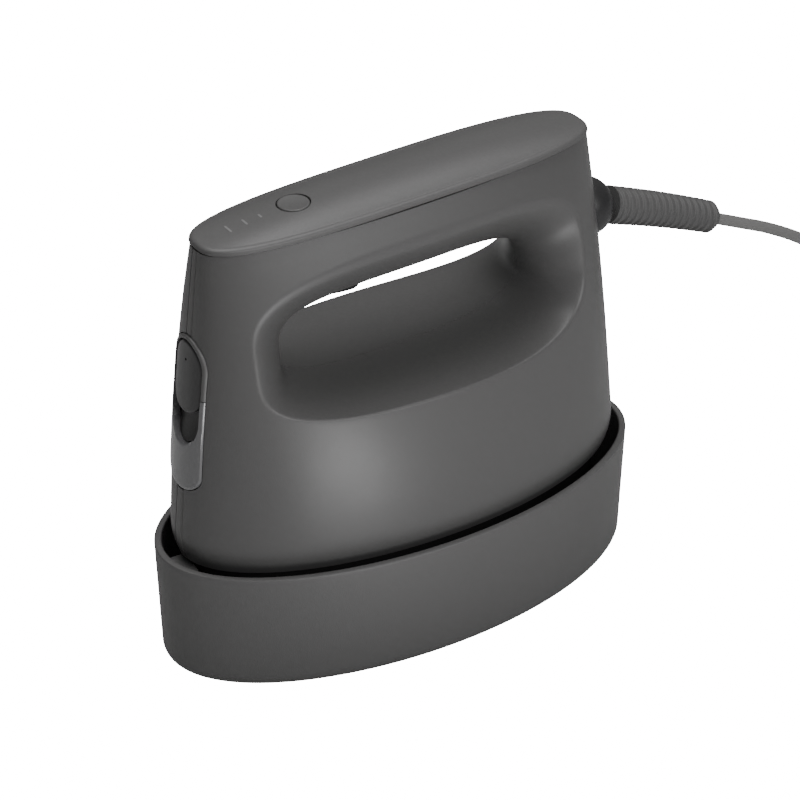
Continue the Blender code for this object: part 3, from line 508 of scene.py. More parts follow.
# %% The loft
BODY_BOTTOM, SEAM, TILT = 41.0, 148.8, 0.031
BASE_A, BASE_B = 80.3, 37.0
LID_A, LID_B, LID_X, LID_FULLNESS = 68.65, 16.1, -1.0, 2.98
SIDE_BULGE, EDGE_ROLL, EDGE_ROLL_H, WALL = 7.5, 2.4, 11.0, 2.0
SPINE_LOW, SPINE_HIGH, GAP = 2.0, 1.2, 0.3
NOSE_X = -72.0


def body_section(s, shrink=0.0):
    """Half length, half width, centre and fullness, each blended along s; the width also bulges."""
    a = BASE_A + (LID_A - BASE_A) * s - shrink
    b = BASE_B + (LID_B - BASE_B) * s + SIDE_BULGE * 4.0 * s * (1.0 - s) - shrink
    middle = 0.4 + (LID_X - 0.4) * s - 2.0 * s * (1.0 - s)
    power = 2.0 + (LID_FULLNESS - 2.0) * np.clip(s, 0.0, 1.0) ** 1.5
    return a, b, middle, power


def edge_roll(z):
    """How far the wall has rolled inwards near the foot: a power of the depth below the roll."""
    return EDGE_ROLL * np.clip((BODY_BOTTOM + EDGE_ROLL_H - z) / EDGE_ROLL_H, 0.0, 1.0) ** 2.2


def spine_half(s):
    """Half width of the strip that covers the joint at the nose: it narrows upwards."""
    return SPINE_LOW + (SPINE_HIGH - SPINE_LOW) * s


def body_point(p, s, shrink=0.0, side_gap=0.15):
    """Wall point at p from nose (-1) to tail (1): x = middle - a cos, y = b sin to the 2/power."""
    a, b, middle, power = body_section(s, shrink)
    z = BODY_BOTTOM + s * (SEAM + TILT * (middle + a * p) - BODY_BOTTOM)
    roll = edge_roll(z)
    a, b = a - roll, b - roll
    start = np.arcsin(((spine_half(s) + 0.2) / b) ** (power / 2.0))
    end = np.arcsin((side_gap / b) ** (power / 2.0))
    angle = start + (p + 1.0) / 2.0 * (PI - start - end)
    x = middle - a * np.cos(angle)
    y = -b * np.sin(angle) ** (2.0 / power)
    z = BODY_BOTTOM + s * (SEAM + TILT * x - BODY_BOTTOM)
    return np.stack(np.broadcast_arrays(x, y, z), axis=-1)


print("foot and seam half sizes:", body_section(0.0)[:2], body_section(1.0)[:2])

# %% [markdown]
# ## The handle: a dish with a hole through it
# The handle is made by a soft oval dish pressed into each side, and a hole through the bottom of
# both dishes. Each outline is a superellipse whose power changes from corner to corner, because
# some of its corners are fuller than others.

# %% Outlines of the dish and the hole
DISH_X, DISH_R, DISH_LOW, DISH_HIGH = -1.7, 58.7, 93.0, 139.4
HOLE_X, HOLE_R, HOLE_LOW, HOLE_HIGH = 0.1, 44.2, 92.6, 121.9
DISH_CORNERS, HOLE_CORNERS, DISH_BOW = (4.8, 3.2, 3.6, 2.9), (3.4, 2.4, 3.4, 4.2), 1.3


def corner_power(u, v, corners):
    """Power of the quadrant that (u, v) lies in: nose low, tail low, tail high, nose high."""
    nose_low, tail_low, tail_high, nose_high = corners
    return np.where(v < 0.0, np.where(u < 0.0, nose_low, tail_low), np.where(u < 0.0, nose_high, tail_high))


def dish_reach(x, z, grow=0.0):
    """The superellipse sum to the power 1/n: 1 on the dish's outline and less inside it."""
    top, low = DISH_HIGH + grow + TILT * x, DISH_LOW - grow
    u, v = (x - DISH_X) / (DISH_R + grow), (z - (top + low) / 2.0) / ((top - low) / 2.0)
    power = corner_power(u, v, DISH_CORNERS)
    return (np.abs(u) ** power + np.abs(v) ** power) ** (1.0 / power)


def hole_outline(u, v, grow=0.0):
    """Scale the direction (u, v) until it meets the hole's superellipse."""
    power = corner_power(u, v, HOLE_CORNERS)
    reach = (np.abs(u) ** power + np.abs(v) ** power) ** (-1.0 / power)
    x = HOLE_X + (HOLE_R + grow) * u * reach
    top, low = HOLE_HIGH + TILT * x + grow, HOLE_LOW - grow
    return x, (top + low) / 2.0 + (top - low) / 2.0 * v * reach

# %% [markdown]
# ## One side wall as one sheet
# The wall is a single sheet with a hole, so its grid runs round the hole: each column starts on
# the wall's rim (foot, tail, seam, nose), runs over the outside to the dish's edge, and down the
# dish to the hole. The edge of the dish is found by bisection. The edge is softened by a Bezier
# curve between a point just before it and a point just after it. The two walls meet in the hole
# with a joint that is tight all round and opens a little at the nose end.

# %% The side wall's grid
TIGHT_JOINT, OPEN_JOINT = 0.02, 0.15


def rim_walk(along, up):
    """Walk round the (p, s) rectangle, denser towards its corners, as one array of points."""
    t = (1.0 - np.cos(np.linspace(0.0, PI, along, endpoint=False))) / 2.0
    q = np.linspace(0.0, 1.0, up, endpoint=False)
    return np.concatenate([
        np.stack([-1.0 + 2.0 * t, 0.0 * t], 1), np.stack([0.0 * q + 1.0, q], 1),
        np.stack([1.0 - 2.0 * t, 0.0 * t + 1.0], 1), np.stack([0.0 * q - 1.0, 1.0 - q], 1),
    ])


def bisect(inside, near, far, rounds=34):
    """Halve the span between near and far for every column until inside() changes there."""
    for _ in range(rounds):
        test = (near + far) / 2.0
        hit = inside(test)
        near, far = np.where(hit, test, near), np.where(hit, far, test)
    return (near + far) / 2.0


def wall_rows(shrink, grow, walk, outer_steps, round_steps, dish_steps, soft):
    """Rows from the rim over the wall, round the dish's edge and down the dish to the hole."""
    rim = rim_walk(*walk)
    centre = np.array([-0.02, 0.68])

    def on_wall(scale):
        at = centre + (rim - centre) * scale[:, None]
        return body_point(at[:, 0], at[:, 1], shrink)

    def in_dish(scale):
        point = on_wall(scale)
        return dish_reach(point[:, 0], point[:, 2], grow) < 1.0

    edge = bisect(in_dish, np.zeros(len(rim)), np.ones(len(rim)))
    corner = on_wall(edge)
    u = (corner[:, 0] - DISH_X) / (DISH_R + grow)
    v = (corner[:, 2] - (DISH_HIGH + DISH_LOW + TILT * corner[:, 0]) / 2.0) / ((DISH_HIGH - DISH_LOW) / 2.0)
    hole_x, hole_z = hole_outline(u, v, grow)
    half_gap = TIGHT_JOINT + (OPEN_JOINT - TIGHT_JOINT) * np.clip((-u - 0.82) / 0.12, 0.0, 1.0)

    def on_dish(g):
        drawn = (1.0 - (1.0 - g) ** 2) ** (1.0 / DISH_BOW)
        x = corner[:, 0] + (hole_x - corner[:, 0]) * drawn
        z = corner[:, 2] + (hole_z - corner[:, 2]) * drawn
        return np.stack([x, corner[:, 1] * (1.0 - g) - half_gap * g, z], 1)

    upward = np.clip(v, 0.0, 1.0) ** 2
    radius = soft[0] + (soft[1] - soft[0]) * upward
    before = bisect(lambda t: np.linalg.norm(on_wall(t) - corner, axis=1) < radius, edge, np.ones(len(rim)))
    after = bisect(lambda g: np.linalg.norm(on_dish(g) - corner, axis=1) < radius, 0.0 * edge, 0.0 * edge + 0.6)
    rows = [on_wall(before + (1.0 - before) * t) for t in np.linspace(1.0, 0.0, outer_steps)]
    first, last = rows[-1], on_dish(after)
    for t in np.linspace(0.0, 1.0, round_steps + 2)[1:-1]:
        rows.append((1 - t) ** 2 * first + 2 * t * (1 - t) * corner + t**2 * last)
    rows += [on_dish(after + (1.0 - after) * g) for g in np.linspace(0.0, 1.0, dish_steps)]
    return rows


WALK = (150, 60)
outer_rows = wall_rows(0.0, 0.0, WALK, 34, 7, 34, (1.15, 2.6))
inner_rows = wall_rows(WALL, WALL, WALK, 12, 1, 10, (0.8, 0.8))
left_rows = np.array(outer_rows + inner_rows[::-1])
print("side wall grid:", left_rows.shape)

# %% [markdown]
# ## Openings in the side walls
# Both walls together leave three more openings: a round-ended one at the nose for the filler
# cover, a round one at the tail for the cord's collar, and a slot for the steam trigger. Each
# is cut with a Boolean, which is applied at once, so that the finished wall is a plain mesh.

# %% The nose outline and the cutters
COVER_TOP_Z, COVER_LOW_Z, COVER_W, COVER_TOP_R, COVER_LOW_R, RIM_W = 108.7, 73.5, 9.1, 9.7, 6.5, 1.35
COLLAR_R = 9.8
PIVOT = np.array([70.0, 0.0, 120.5])


def racetrack(width, top_z, top_r, low_z, low_r, count=40):
    """Outline (y, z) with a half-ellipse over the top and another under the bottom."""
    over = np.linspace(0.0, PI, count)
    under = np.linspace(PI, 2 * PI, count)
    return np.concatenate([
        np.stack([width * np.cos(over), top_z + top_r * np.sin(over)], 1),
        np.stack([width * np.cos(under), low_z + low_r * np.sin(under)], 1),
    ])


def prism(outline, low, high, axis):
    """Two copies of an outline in the two other axes, at two places along an axis."""
    rows = np.insert(np.stack([outline, outline]), axis, 0.0, axis=2)
    rows[0, :, axis], rows[1, :, axis] = low, high
    return ends_closed(rows)


def rounded_box(half, power=6.0, count=40):
    """Superellipse outline with the given half sizes."""
    a, b = power_oval(np.linspace(0.0, 2 * PI, count, endpoint=False), power)
    return np.stack([half[0] * a, half[1] * b], 1)


def cut_with(mesh, cutters):
    """Subtract closed meshes from a mesh with an EXACT Boolean, and give back the result."""
    scratch = [bpy.data.objects.new("scratch", m) for m in (mesh, *cutters)]
    for item in scratch:
        bpy.context.scene.collection.objects.link(item)
    for tool in scratch[1:]:
        change = scratch[0].modifiers.new("cut", "BOOLEAN")
        change.operation, change.solver, change.object = "DIFFERENCE", "EXACT", tool
    bpy.context.view_layer.update()
    result = bpy.data.meshes.new_from_object(scratch[0].evaluated_get(bpy.context.evaluated_depsgraph_get()))
    for item in scratch:
        bpy.data.objects.remove(item)
    return result


circle = rounded_box((COLLAR_R + 0.5, COLLAR_R + 0.5), 2.0, 64) + [0.0, PIVOT[2]]
nose_opening = grid_mesh("nose_opening", prism(
    racetrack(COVER_W + GAP, COVER_TOP_Z, COVER_TOP_R + GAP, COVER_LOW_Z, COVER_LOW_R + GAP), -92.0, -62.0, 0))
collar_opening = grid_mesh("collar_opening", prism(circle, 60.0, 96.0, 0))
trigger_slot = grid_mesh("trigger_slot", prism(rounded_box((10.9, 4.4)) + [-24.5, 0.0], 112.0, 128.5, 2))
cutters = (nose_opening, collar_opening, trigger_slot)
for side, name in ((1.0, "left"), (-1.0, "right")):
    rows = left_rows * np.array([1.0, side, 1.0])
    wall = cut_with(grid_mesh("wall_" + name, rows, ring=True), cutters)
    add_piece("side_wall_" + name, wall, SHELL, "iron", ("side_shell_" + name,), sharp=50.0)

# %% [markdown]
# ## The nose
# A slim strip covers the joint of the two walls at the nose. In it sits the filler group: a
# frame over the top, a smoked window that shows the tank's level, a dark scoop for the finger
# nail, and the cover itself, which swings up on a pin near its top. All of them follow the
# nose's surface, so each is drawn flat in (y, z) and pushed onto that surface.

# %% Plates and bands on the nose
def nose_x(y, z, outwards=0.0):
    """X of the nose surface over (y, z): the loft's superellipse solved for x."""
    s = (z - BODY_BOTTOM) / (SEAM + TILT * NOSE_X - BODY_BOTTOM)
    a, b, middle, power = body_section(s)
    roll = edge_roll(z)
    return middle - (a - roll) * np.sqrt(1.0 - np.abs(y / (b - roll)) ** power) - outwards


def on_nose(y, z, outwards):
    """Stack x, y and z of points on the nose surface."""
    return np.stack(np.broadcast_arrays(nose_x(y, z, outwards), y, z), -1)


def edge_fall(from_edge, soften):
    """How far a quarter-round edge has dropped at a distance from the edge, up to its radius."""
    inwards = np.clip(from_edge / soften, 0.0, 1.0)
    return soften * (1.0 - np.sqrt(np.clip(1.0 - (1.0 - inwards) ** 2, 0.0, 1.0)))


def nose_plate(outline, middle, front, back, soften=0.5, rings=14):
    """Rings from the middle to the outline, pushed to front (a function of y, z), then back again."""
    r = np.sin(np.linspace(0.0, PI / 2, rings))
    reach = np.linalg.norm(outline - middle, axis=1)
    rows = []
    for k in r:
        at = middle + (outline - middle) * k
        fall = edge_fall((1.0 - k) * reach, soften)
        rows.append(on_nose(at[:, 0], at[:, 1], front(at[:, 0], at[:, 1]) - fall))
    for k in r[::-1]:
        at = middle + (outline - middle) * k
        rows.append(on_nose(at[:, 0], at[:, 1], front(at[:, 0], at[:, 1]) - back))
    return np.array(rows)


def nose_band(outer, inner, proud, back, soften=0.5, across=12):
    """A band between two paths: at each station a loop over the front, softened, and back behind."""
    t = np.linspace(0.0, 1.0, across)[:, None, None]
    line = outer[None] * (1.0 - t) + inner[None] * t
    width = np.linalg.norm(outer - inner, axis=1)[None]
    from_edge = np.minimum(t[..., 0], 1.0 - t[..., 0]) * width
    face = on_nose(line[..., 0], line[..., 1], proud - edge_fall(from_edge, soften))
    rear = on_nose(line[..., 0], line[..., 1], -back)
    return ends_closed(np.concatenate([face, rear[::-1]]).transpose(1, 0, 2))


def strip_rows(low, high, count, proud=0.15):
    """The slim strip: rows up the nose, each a rounded bar across it."""
    z = np.linspace(low, high, count)[:, None]
    half = spine_half((z - BODY_BOTTOM) / (SEAM + TILT * NOSE_X - BODY_BOTTOM))
    y = np.linspace(-1.0, 1.0, 17)[None] * half
    face = on_nose(y, z, proud - 0.25 * (np.abs(y) / half) ** 6)
    rear = on_nose(y, z, -1.7)
    return ends_closed(np.concatenate([face, rear[:, ::-1]], axis=1))


strip_top = SEAM + NOSE_X * TILT - 0.05
for half, low, high in (("upper", COVER_TOP_Z + COVER_TOP_R + 2 * GAP, strip_top),
                        ("lower", BODY_BOTTOM + 0.1, COVER_LOW_Z - COVER_LOW_R - 2 * GAP)):
    strip = grid_mesh("nose_trim_" + half, strip_rows(low, high, 40))
    add_piece("nose_trim_" + half, strip, LID, "iron", ("nose_strip_" + half,))

# %% The filler frame and the window
FRAME_FOOT = COVER_TOP_Z - 8.5
INSIDE_W = COVER_W - RIM_W
SCOOP_MID, SCOOP_R = 92.7, 9.8


def arch(width, radius, middle, start, end, foot, count=48):
    """A half-ellipse between two angles with a straight leg down or up to foot at each end."""
    turn = np.linspace(start, end, count)
    curve = np.stack([width * np.cos(turn), middle + radius * np.sin(turn)], 1)
    legs = np.linspace(foot, middle, 8, endpoint=False)
    first = np.stack([0.0 * legs + width, legs], 1)
    last = np.stack([0.0 * legs - width, legs[::-1]], 1)
    return np.concatenate([first, curve, last])


frame_band = nose_band(arch(COVER_W, COVER_TOP_R, COVER_TOP_Z, 0.0, PI, FRAME_FOOT),
                       arch(INSIDE_W, COVER_TOP_R - RIM_W, COVER_TOP_Z, 0.0, PI, FRAME_FOOT), 0.7, 1.8)
add_piece("filler_arch", grid_mesh("filler_arch", frame_band), LID, "iron", ("filler_frame",))
window_band = nose_band(arch(COVER_W, COVER_LOW_R, COVER_LOW_Z, 0.0, -PI, FRAME_FOOT - GAP),
                        arch(INSIDE_W, 10.0, SCOOP_MID, 0.0, -PI, FRAME_FOOT - GAP), 0.7, 1.8, across=24)
window = grid_mesh("level_window", window_band)
add_piece("level_window", window, WINDOW, "iron", ("tank_window",))

# %% [markdown]
# The scoop falls away from the surface as it rises behind the cover, so a finger nail can get
# under the cover's lower edge. The cover is a softly rounded plate with a pin-sized vent near
# its top.

# %% The scoop, the cover and its vent
scoop_turn = np.linspace(PI, 2 * PI, 60)
scoop_outline = np.concatenate([
    np.stack([(INSIDE_W - GAP) * np.cos(scoop_turn), SCOOP_MID + SCOOP_R * np.sin(scoop_turn)], 1),
    np.array([(INSIDE_W - GAP, 99.0), (0.0, 99.0), (-(INSIDE_W - GAP), 99.0)]),
])
scoop = nose_plate(scoop_outline, np.array([0.0, 92.0]),
                   lambda y, z: -0.5 - 3.4 * np.clip((z - 83.0) / 16.0, 0.0, 1.0) ** 0.8, 1.2, 0.3)
add_piece("nail_scoop", grid_mesh("nail_scoop", scoop), SCOOP, "iron", ("finger_scoop",))
cover_outline = racetrack(INSIDE_W - GAP, COVER_TOP_Z, COVER_TOP_R - RIM_W - GAP, 99.7, 6.45, 48)
cover = nose_plate(cover_outline, np.array([0.0, 104.5]),
                   lambda y, z: 0.35 + 0.15 * (1.0 - (y / INSIDE_W) ** 2), 2.0, 0.8, 20)
add_piece("flip_cover", grid_mesh("flip_cover", cover), COVER, "filler_cover", ("filler_cover",))
VENT_AT, VENT_R = np.array([0.0, 110.8]), 0.4
vent_outline = rounded_box((VENT_R, VENT_R), 2.0, 24) + VENT_AT
vent = nose_plate(vent_outline, VENT_AT, lambda y, z: 0.53 + 0.0 * y, 0.3, 0.02, 4)
add_piece("cover_vent", grid_mesh("cover_vent", vent), VENT, "filler_cover")

# %% [markdown]
# ## The lid and its controls
# The lid is a shallow dome with a short upright edge. Its outline is the body's own oval at the
# seam, so it is the same superellipse drawn at smaller and smaller scale while it rises. A
# Boolean cuts a round hole a little wider than the button, which leaves a thin gap round it.

# %% The lid
BUTTON_X, BUTTON_R = -36.0, 5.0


def lid_rise(rho):
    """Height above the seam: the edge's height plus a dome that falls with rho to the 2.4."""
    return 2.3 + 3.3 * (1.0 - rho**2.4)


def lid_loop(scale_a, scale_b, height, count=240):
    """The seam's oval with its own half sizes at a height; it tilts as the seam does."""
    x, y = power_oval(np.linspace(0.0, 2 * PI, count, endpoint=False), LID_FULLNESS)
    x = LID_X + scale_a * x
    return np.stack([x, scale_b * y, SEAM + height + TILT * x], 1)


def lid_rows():
    """Rows up the edge, round its shoulder, over the dome to the middle, and back underneath."""
    edge = ((2.4, GAP), (0.3, GAP), (0.0, GAP + 0.3), (0.05, 1.0))
    rows = [lid_loop(LID_A - inset, LID_B - inset, height) for inset, height in edge]
    turn = np.linspace(0.0, PI / 2, 9)
    rows += [lid_loop(LID_A - 0.1 - 1.9 * (1 - math.cos(t)), LID_B - 0.1 - 1.9 * (1 - math.cos(t)),
                      1.1 + 1.2 * math.sin(t)) for t in turn]
    for rho in np.linspace(0.985, 0.0, 40):
        rows.append(lid_loop((LID_A - 2.0) * rho, (LID_B - 2.0) * rho, lid_rise(rho)))
    for rho in np.linspace(0.0, 1.0, 12):
        rows.append(lid_loop((LID_A - 4.2) * rho, (LID_B - 4.2) * rho, lid_rise(rho) - 1.8))
    return np.array(rows)


def lid_top(x):
    """Height of the lid's middle line at x."""
    return SEAM + TILT * x + lid_rise(np.abs(x - LID_X) / (LID_A - 2.0))


button_circle = rounded_box((BUTTON_R + GAP,) * 2, 2.0, 96) + [BUTTON_X, 0.0]
button_hole = grid_mesh("button_hole", prism(button_circle, 140.0, 160.0, 2))
lid = cut_with(grid_mesh("lid", lid_rows(), ring=True), [button_hole])
add_piece("lid_shell", lid, LID, "iron", ("top_lid",), sharp=50.0)

# %% The button and the level marks
def turned_rows(profile, centre, axis, columns=64):
    """Turn a profile of (along, radius) round an axis through the centre."""
    axis = np.asarray(axis, float) / np.linalg.norm(axis)
    side = np.cross(axis, [0.0, 1.0, 0.0])
    side /= np.linalg.norm(side)
    other = np.cross(axis, side)
    turn = np.linspace(0.0, 2 * PI, columns, endpoint=False)[None, :, None]
    along, radius = np.asarray(profile, float).T
    ring = np.cos(turn) * side + np.sin(turn) * other
    return np.asarray(centre) + along[:, None, None] * axis + radius[:, None, None] * ring


button_top = float(lid_top(BUTTON_X)) + 0.1
slope = np.linspace(0.0, PI / 2, 7)
profile = [(-4.6, 0.0), (-4.6, 1.6), (-3.4, 1.6), (-3.4, BUTTON_R)]
profile += [(-0.45 + 0.45 * math.sin(t), BUTTON_R - 0.45 * (1 - math.cos(t))) for t in slope]
profile += [(-0.05 - 0.3 * (1.0 - (r / 4.2) ** 2), r) for r in (4.2, 3.6, 2.8, 1.8, 0.9, 0.0)]
lid_tilt = math.atan(TILT)
press_axis = (-math.sin(lid_tilt), 0.0, math.cos(lid_tilt))
press_button = grid_mesh("press_button", turned_rows(profile, (BUTTON_X, 0.0, button_top), press_axis))
add_piece("press_button", press_button, LID, "power_button", ("power_button",))


def mark_rows(x, half_length):
    """A low round-ended bar across the lid, laid on the dome's surface."""
    outline = rounded_box((0.32, half_length), 4.0, 32)
    rows = []
    for scale, rise in ((1.0, -0.1), (1.0, 0.02), (0.8, 0.05), (0.0, 0.05)):
        at = outline * scale
        rows.append(np.stack([x + at[:, 0], at[:, 1], lid_top(x + at[:, 0]) - 0.012 * at[:, 1] ** 2 + rise], 1))
    base = rows[0] * 1.0
    base[:, :2] = base[:, :2].mean(0)
    return np.array([base] + rows)


for index, (x, half) in enumerate(((-47.5, 1.1), (-52.7, 1.8), (-58.3, 2.5))):
    name = f"level_mark_{index + 1}"
    add_piece(name, grid_mesh(name, mark_rows(x, half)), MARKS, "iron")

# %% [markdown]
# ## The steam trigger
# The trigger is a short rounded lever under the handle's bar. The first finger squeezes it up.
# It is a bar whose section is a superellipse; its underside bulges down towards the tail.

# %% The trigger
TRIGGER_NOSE, TRIGGER_TAIL, TRIGGER_TOP = -33.2, -15.0, 127.0


def trigger_rows():
    """Sections along x: flat-topped rounded boxes whose lower edge follows a sine and a lip."""
    x = np.linspace(TRIGGER_NOSE, TRIGGER_TAIL, 50)
    t = (x - TRIGGER_NOSE) / (TRIGGER_TAIL - TRIGGER_NOSE)
    bulge = 2.3 * np.sin(np.minimum(1.0, t * 1.15) * PI / 2)
    low = 120.6 - bulge + 1.6 * np.clip((t - 0.86) / 0.14, 0.0, 1.0) ** 2
    end = np.clip(np.minimum(t, 1.0 - t) / 0.05, 0.0, 1.0) ** 0.5
    half = 3.9 * (0.85 + 0.15 * end)
    turn = np.linspace(0.0, 2 * PI, 40, endpoint=False)
    y, z = power_oval(turn, 4.0)
    middle, tall = (TRIGGER_TOP + low) / 2.0, (TRIGGER_TOP - low) / 2.0
    return np.stack(np.broadcast_arrays(x[:, None], half[:, None] * y, middle[:, None] + tall[:, None] * z), -1)


trigger = grid_mesh("squeeze_trigger", ends_closed(trigger_rows()))
add_piece("squeeze_trigger", trigger, BLACK_PLASTIC, "steam_trigger", ("steam_trigger",))

# %% [markdown]
# ## Where the cord leaves
# A ball-shaped collar sits in the round opening at the tail. The bend relief that grows out of
# it is soft rubber, tapered, with a row of thick ribs, so the cord bends in a wide curve. The
# ribs are a wave on the radius of a tube.

# %% The collar and the bend relief
COLLAR_AXIS = (0.93, 0.0, -0.2)
dome = np.linspace(math.radians(-40.0), math.radians(54.0), 40)
profile = [(-6.5, 0.0), (-6.5, 7.2)] + [(COLLAR_R * math.sin(t), COLLAR_R * math.cos(t)) for t in dome]
profile += [(COLLAR_R * math.sin(dome[-1]) - 0.4, 5.2), (COLLAR_R * math.sin(dome[-1]) - 0.5, 0.0)]
ball_collar = grid_mesh("ball_collar", turned_rows(profile, PIVOT, COLLAR_AXIS, 72))
add_piece("ball_collar", ball_collar, COLLAR, "iron", ("cord_collar",))
RELIEF_START, RELIEF_END = np.array([79.6, 0.0, 118.2]), np.array([122.6, 0.0, 100.9])
RELIEF_R0, RELIEF_R1, RELIEF_SAG, RIBS = 6.25, 5.35, 0.5, 16


def relief_rows():
    """A bowed centre line; the radius tapers and carries one flat-topped wave for each rib."""
    t = np.linspace(0.0, 1.0, 14 * RIBS + 1)
    bow = np.sin(PI * t)[:, None] * RELIEF_SAG * np.array([0.3, 0.0, 1.0])
    path = RELIEF_START + (RELIEF_END - RELIEF_START) * t[:, None] + bow
    wave = np.clip(0.5 + 1.4 * np.cos(2 * PI * RIBS * t), 0.0, 1.0)
    round_end = np.sqrt(np.clip(1.0 - np.clip((t - 0.965) / 0.035, 0.0, 1.0) ** 2, 0.12, 1.0))
    radius = (RELIEF_R0 + (RELIEF_R1 - RELIEF_R0) * t - 0.75 * (1.0 - wave)) * round_end
    return tube_rows(path, radius, 48)


relief = add_piece("ribbed_relief", grid_mesh("ribbed_relief", ends_closed(relief_rows())), RELIEF, "iron",
                   ("bend_relief",), sharp=60.0)

# %% [markdown]
# ## The stand
# The stand is an open oval tub with a thin wall, a slightly flared rim and a rounded foot. It is
# one closed sheet: from the middle of its underside, up the outside, over the rim, down the
# inside, and back to the middle.

# %% The tub
STAND_A, STAND_B, STAND_TOP, STAND_WALL = 85.0, 41.9, 42.8, 2.4
STAND_FLARE, STAND_FILLET, RIM_ROUND, BOWL_ROUND = 1.2, 5.0, 0.55, 2.0
FOOT_H, FLOOR_T = 0.8, 2.4


def tub_rows(columns=320):
    """Offset profile (inwards from the rim's oval, height) carried round the oval."""
    turn = np.linspace(0.0, PI / 2, 12)
    outside = [(STAND_FLARE + STAND_FILLET * (1 - math.sin(t)), FOOT_H + STAND_FILLET * (1 - math.cos(t)))
               for t in turn]
    wall = [(STAND_FLARE * (1.0 - h), 6.0 + (STAND_TOP - 7.0) * h) for h in np.linspace(0.03, 1.0, 22)]
    rim = []
    for t in np.linspace(0.0, PI, 11):
        outer_edge = RIM_ROUND * (1 - math.cos(t))
        inner_edge = STAND_WALL - RIM_ROUND * (1 + math.cos(t))
        rim.append((outer_edge if t < PI / 2 else inner_edge, STAND_TOP - RIM_ROUND * (1 - math.sin(t))))
    inside = [(STAND_WALL + STAND_FLARE * h, STAND_TOP - 0.6 - (STAND_TOP - 8.0) * h)
              for h in np.linspace(0.02, 1.0, 20)]
    inner, floor_top = STAND_WALL + STAND_FLARE, FOOT_H + FLOOR_T
    bowl = [(inner + BOWL_ROUND * (1 - math.cos(t)), floor_top + BOWL_ROUND * (1 - math.sin(t)))
            for t in np.linspace(0.0, PI / 2, 6)]
    profile = np.array(outside + wall + rim + inside + bowl)
    round_ = np.linspace(0.0, 2 * PI, columns, endpoint=False)[None]
    a, b = STAND_A - profile[:, :1], STAND_B - profile[:, :1]
    rows = np.stack(np.broadcast_arrays(a * np.cos(round_), b * np.sin(round_), profile[:, 1:]), -1)
    return ends_closed(rows)


tub = grid_mesh("stand_tub", tub_rows())
add_piece("stand_tub", tub, STAND, "stand", ("stand_shell",), sharp=60.0)


def pad_rows(a, b, low, high, soft, columns=160):
    """A flat oval pad with a rounded upper edge."""
    turn = np.linspace(0.0, 2 * PI, columns, endpoint=False)
    edge = [(0.0, low), (0.0, high - soft)]
    edge += [(soft * (1 - math.cos(t)), high - soft * (1 - math.sin(t))) for t in np.linspace(0.1, PI / 2, 6)]
    x, y = np.cos(turn), np.sin(turn)
    return ends_closed([np.stack([(a - inset) * x, (b - inset) * y, 0 * turn + z], 1) for inset, z in edge])


mat_low = FOOT_H + FLOOR_T + GAP
mat = grid_mesh("resting_mat", pad_rows(76.0, 33.0, mat_low, mat_low + 2.0, 0.6))
add_piece("resting_mat", mat, MAT, "stand", ("stand_mat",))
STOP_X = -77.6
stop_outline = rounded_box((2.4, 5.5), 8.0, 48)
stop_rows = [np.column_stack([stop_outline * k + [STOP_X, 0.0], np.full(48, z)])
             for k, z in ((1.0, 12.5), (1.0, 37.2), (0.97, 37.9), (0.88, 38.2))]
stop = grid_mesh("nose_stop", ends_closed(stop_rows))
add_piece("nose_stop", stop, STAND, "stand", ("nose_locator",))

# %% [markdown]
# ## The black skirt above the hot plate
# Between the body and the hot plate is a heat-proof skirt. It stands in the stand's shadow, and
# only its upper edge shows as a black line under the body.

# %% The skirt
def skirt_rows(columns=240):
    """Offset profile carried round the skirt's oval: outside up, over, and inside down."""
    low, high = 9.8, BODY_BOTTOM - GAP
    profile = np.array([(71.0, 28.0, low), (72.6, 29.6, low), (73.4, 30.4, low + 1.2), (74.6, 31.4, 39.0),
                        (74.6, 31.4, high), (72.6, 29.4, high), (71.2, 28.2, low + 1.5)])
    turn = np.linspace(0.0, 2 * PI, columns, endpoint=False)[None]
    a, b, z = (profile[:, i : i + 1] for i in range(3))
    return np.stack(np.broadcast_arrays(a * np.cos(turn), b * np.sin(turn), z), -1)


skirt = grid_mesh("heat_skirt", skirt_rows(), ring=True)
add_piece("heat_skirt", skirt, GUARD, "iron", ("heat_guard",))

# %% [markdown]
# ## The pieces that keep their CAD shape
# Inside the iron and under the stand the CAD shapes are right as they are. They get the finish
# that the real piece has, by name.

# %% Finishes for the CAD pieces
KEPT = {
    "steam_chamber": ALLOY, "thermal_fuse": ALLOY, "chamber_cover": STEEL, "heater_element": STEEL,
    "heat_shield": STEEL, "soleplate": STEEL, "sole_screw_nose": STEEL, "sole_screw_tail": STEEL,
    "control_board": BOARD, "water_tank": TANK, "inlet_tube": TUBES, "outlet_tube": TUBES,
    "filler_seal": TUBES, "plug_blade_left": NICKEL, "plug_blade_right": NICKEL,
    "foot_nose_left": MAT, "foot_nose_right": MAT, "foot_tail_left": MAT, "foot_tail_right": MAT,
}
for name, node in nodes.items():
    node.data.materials.clear()
    node.data.materials.append(KEPT.get(name, BLACK_PLASTIC))
print("CAD pieces with their own finish:", len(KEPT))

# %% [markdown]
# ## The studio
# A pale floor that fades into a white room, one large soft light above, two soft lights in front,
# and a panel lying on the floor that draws the soft bright band down the body's side.

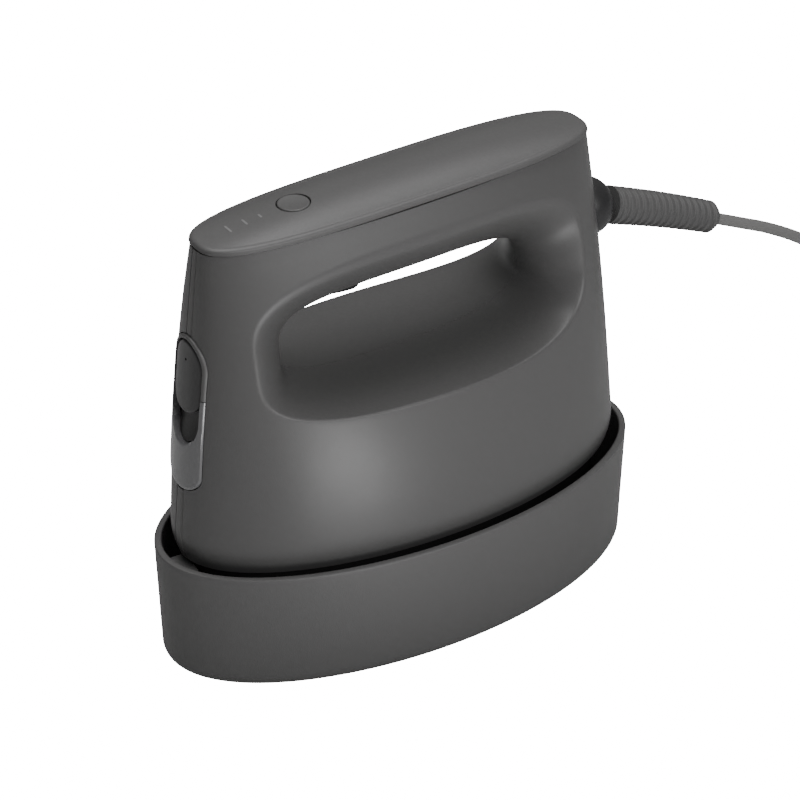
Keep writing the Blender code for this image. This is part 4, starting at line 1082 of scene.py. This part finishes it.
# %% Floor and lights
FLOOR_GLOW = 20.0
floor_mesh = bpy.data.meshes.new("floor")
floor_mesh.from_pydata([(-6, -6, 0), (6, -6, 0), (6, 6, 0), (-6, 6, 0)], [], [(0, 1, 2, 3)])
floor = bpy.data.objects.new("floor", floor_mesh)
bpy.context.scene.collection.objects.link(floor)
floor_finish = bpy.data.materials.new("pale_floor")
floor_finish.use_nodes = True
floor_tree = floor_finish.node_tree
floor_shader = floor_tree.nodes["Principled BSDF"]
floor_shader.inputs["Base Color"].default_value = (0.6, 0.6, 0.6, 1.0)
floor_shader.inputs["Roughness"].default_value = 0.9
floor_shader.inputs["Specular IOR Level"].default_value = 0.1
seen_directly = floor_tree.nodes.new("ShaderNodeLightPath").outputs["Is Camera Ray"]
floor_shader.inputs["Emission Color"].default_value = (1.0, 1.0, 1.0, 1.0)
glow = math_node(floor_tree, "MULTIPLY", seen_directly, FLOOR_GLOW)
floor_tree.links.new(glow, floor_shader.inputs["Emission Strength"])
floor_mesh.materials.append(floor_finish)

world = bpy.data.worlds.new("white_room")
world.use_nodes = True
world.node_tree.nodes["Background"].inputs["Color"].default_value = (1.0, 1.0, 1.0, 1.0)
world.node_tree.nodes["Background"].inputs["Strength"].default_value = 0.14
bpy.context.scene.world = world


def soft_light(name, place, size, power, aim=(0.0, 0.0, 0.07)):
    """An area light at a place in metres, turned to look at a point, the iron if none is given."""
    lamp = bpy.data.objects.new(name, bpy.data.lights.new(name, "AREA"))
    bpy.context.scene.collection.objects.link(lamp)
    lamp.data.shape = "RECTANGLE"
    lamp.data.size, lamp.data.size_y = size
    lamp.data.energy = power
    lamp.location = place
    lamp.rotation_euler = (Vector(place) - Vector(aim)).to_track_quat("Z", "Y").to_euler()
    return lamp


soft_light("overhead", (0.1, 0.25, 1.5), (1.1, 0.9), 14.0)
panel = soft_light("low_panel", (-0.035, -0.28, 0.004), (0.08, 0.28), 0.56, aim=(-0.035, -0.28, 1.0))
panel.visible_camera = False
soft_light("front_fill", (0.15, -1.3, 0.7), (0.8, 0.6), 6.5)
soft_light("high_fill", (-0.05, -1.0, 1.2), (0.8, 0.6), 5.0)
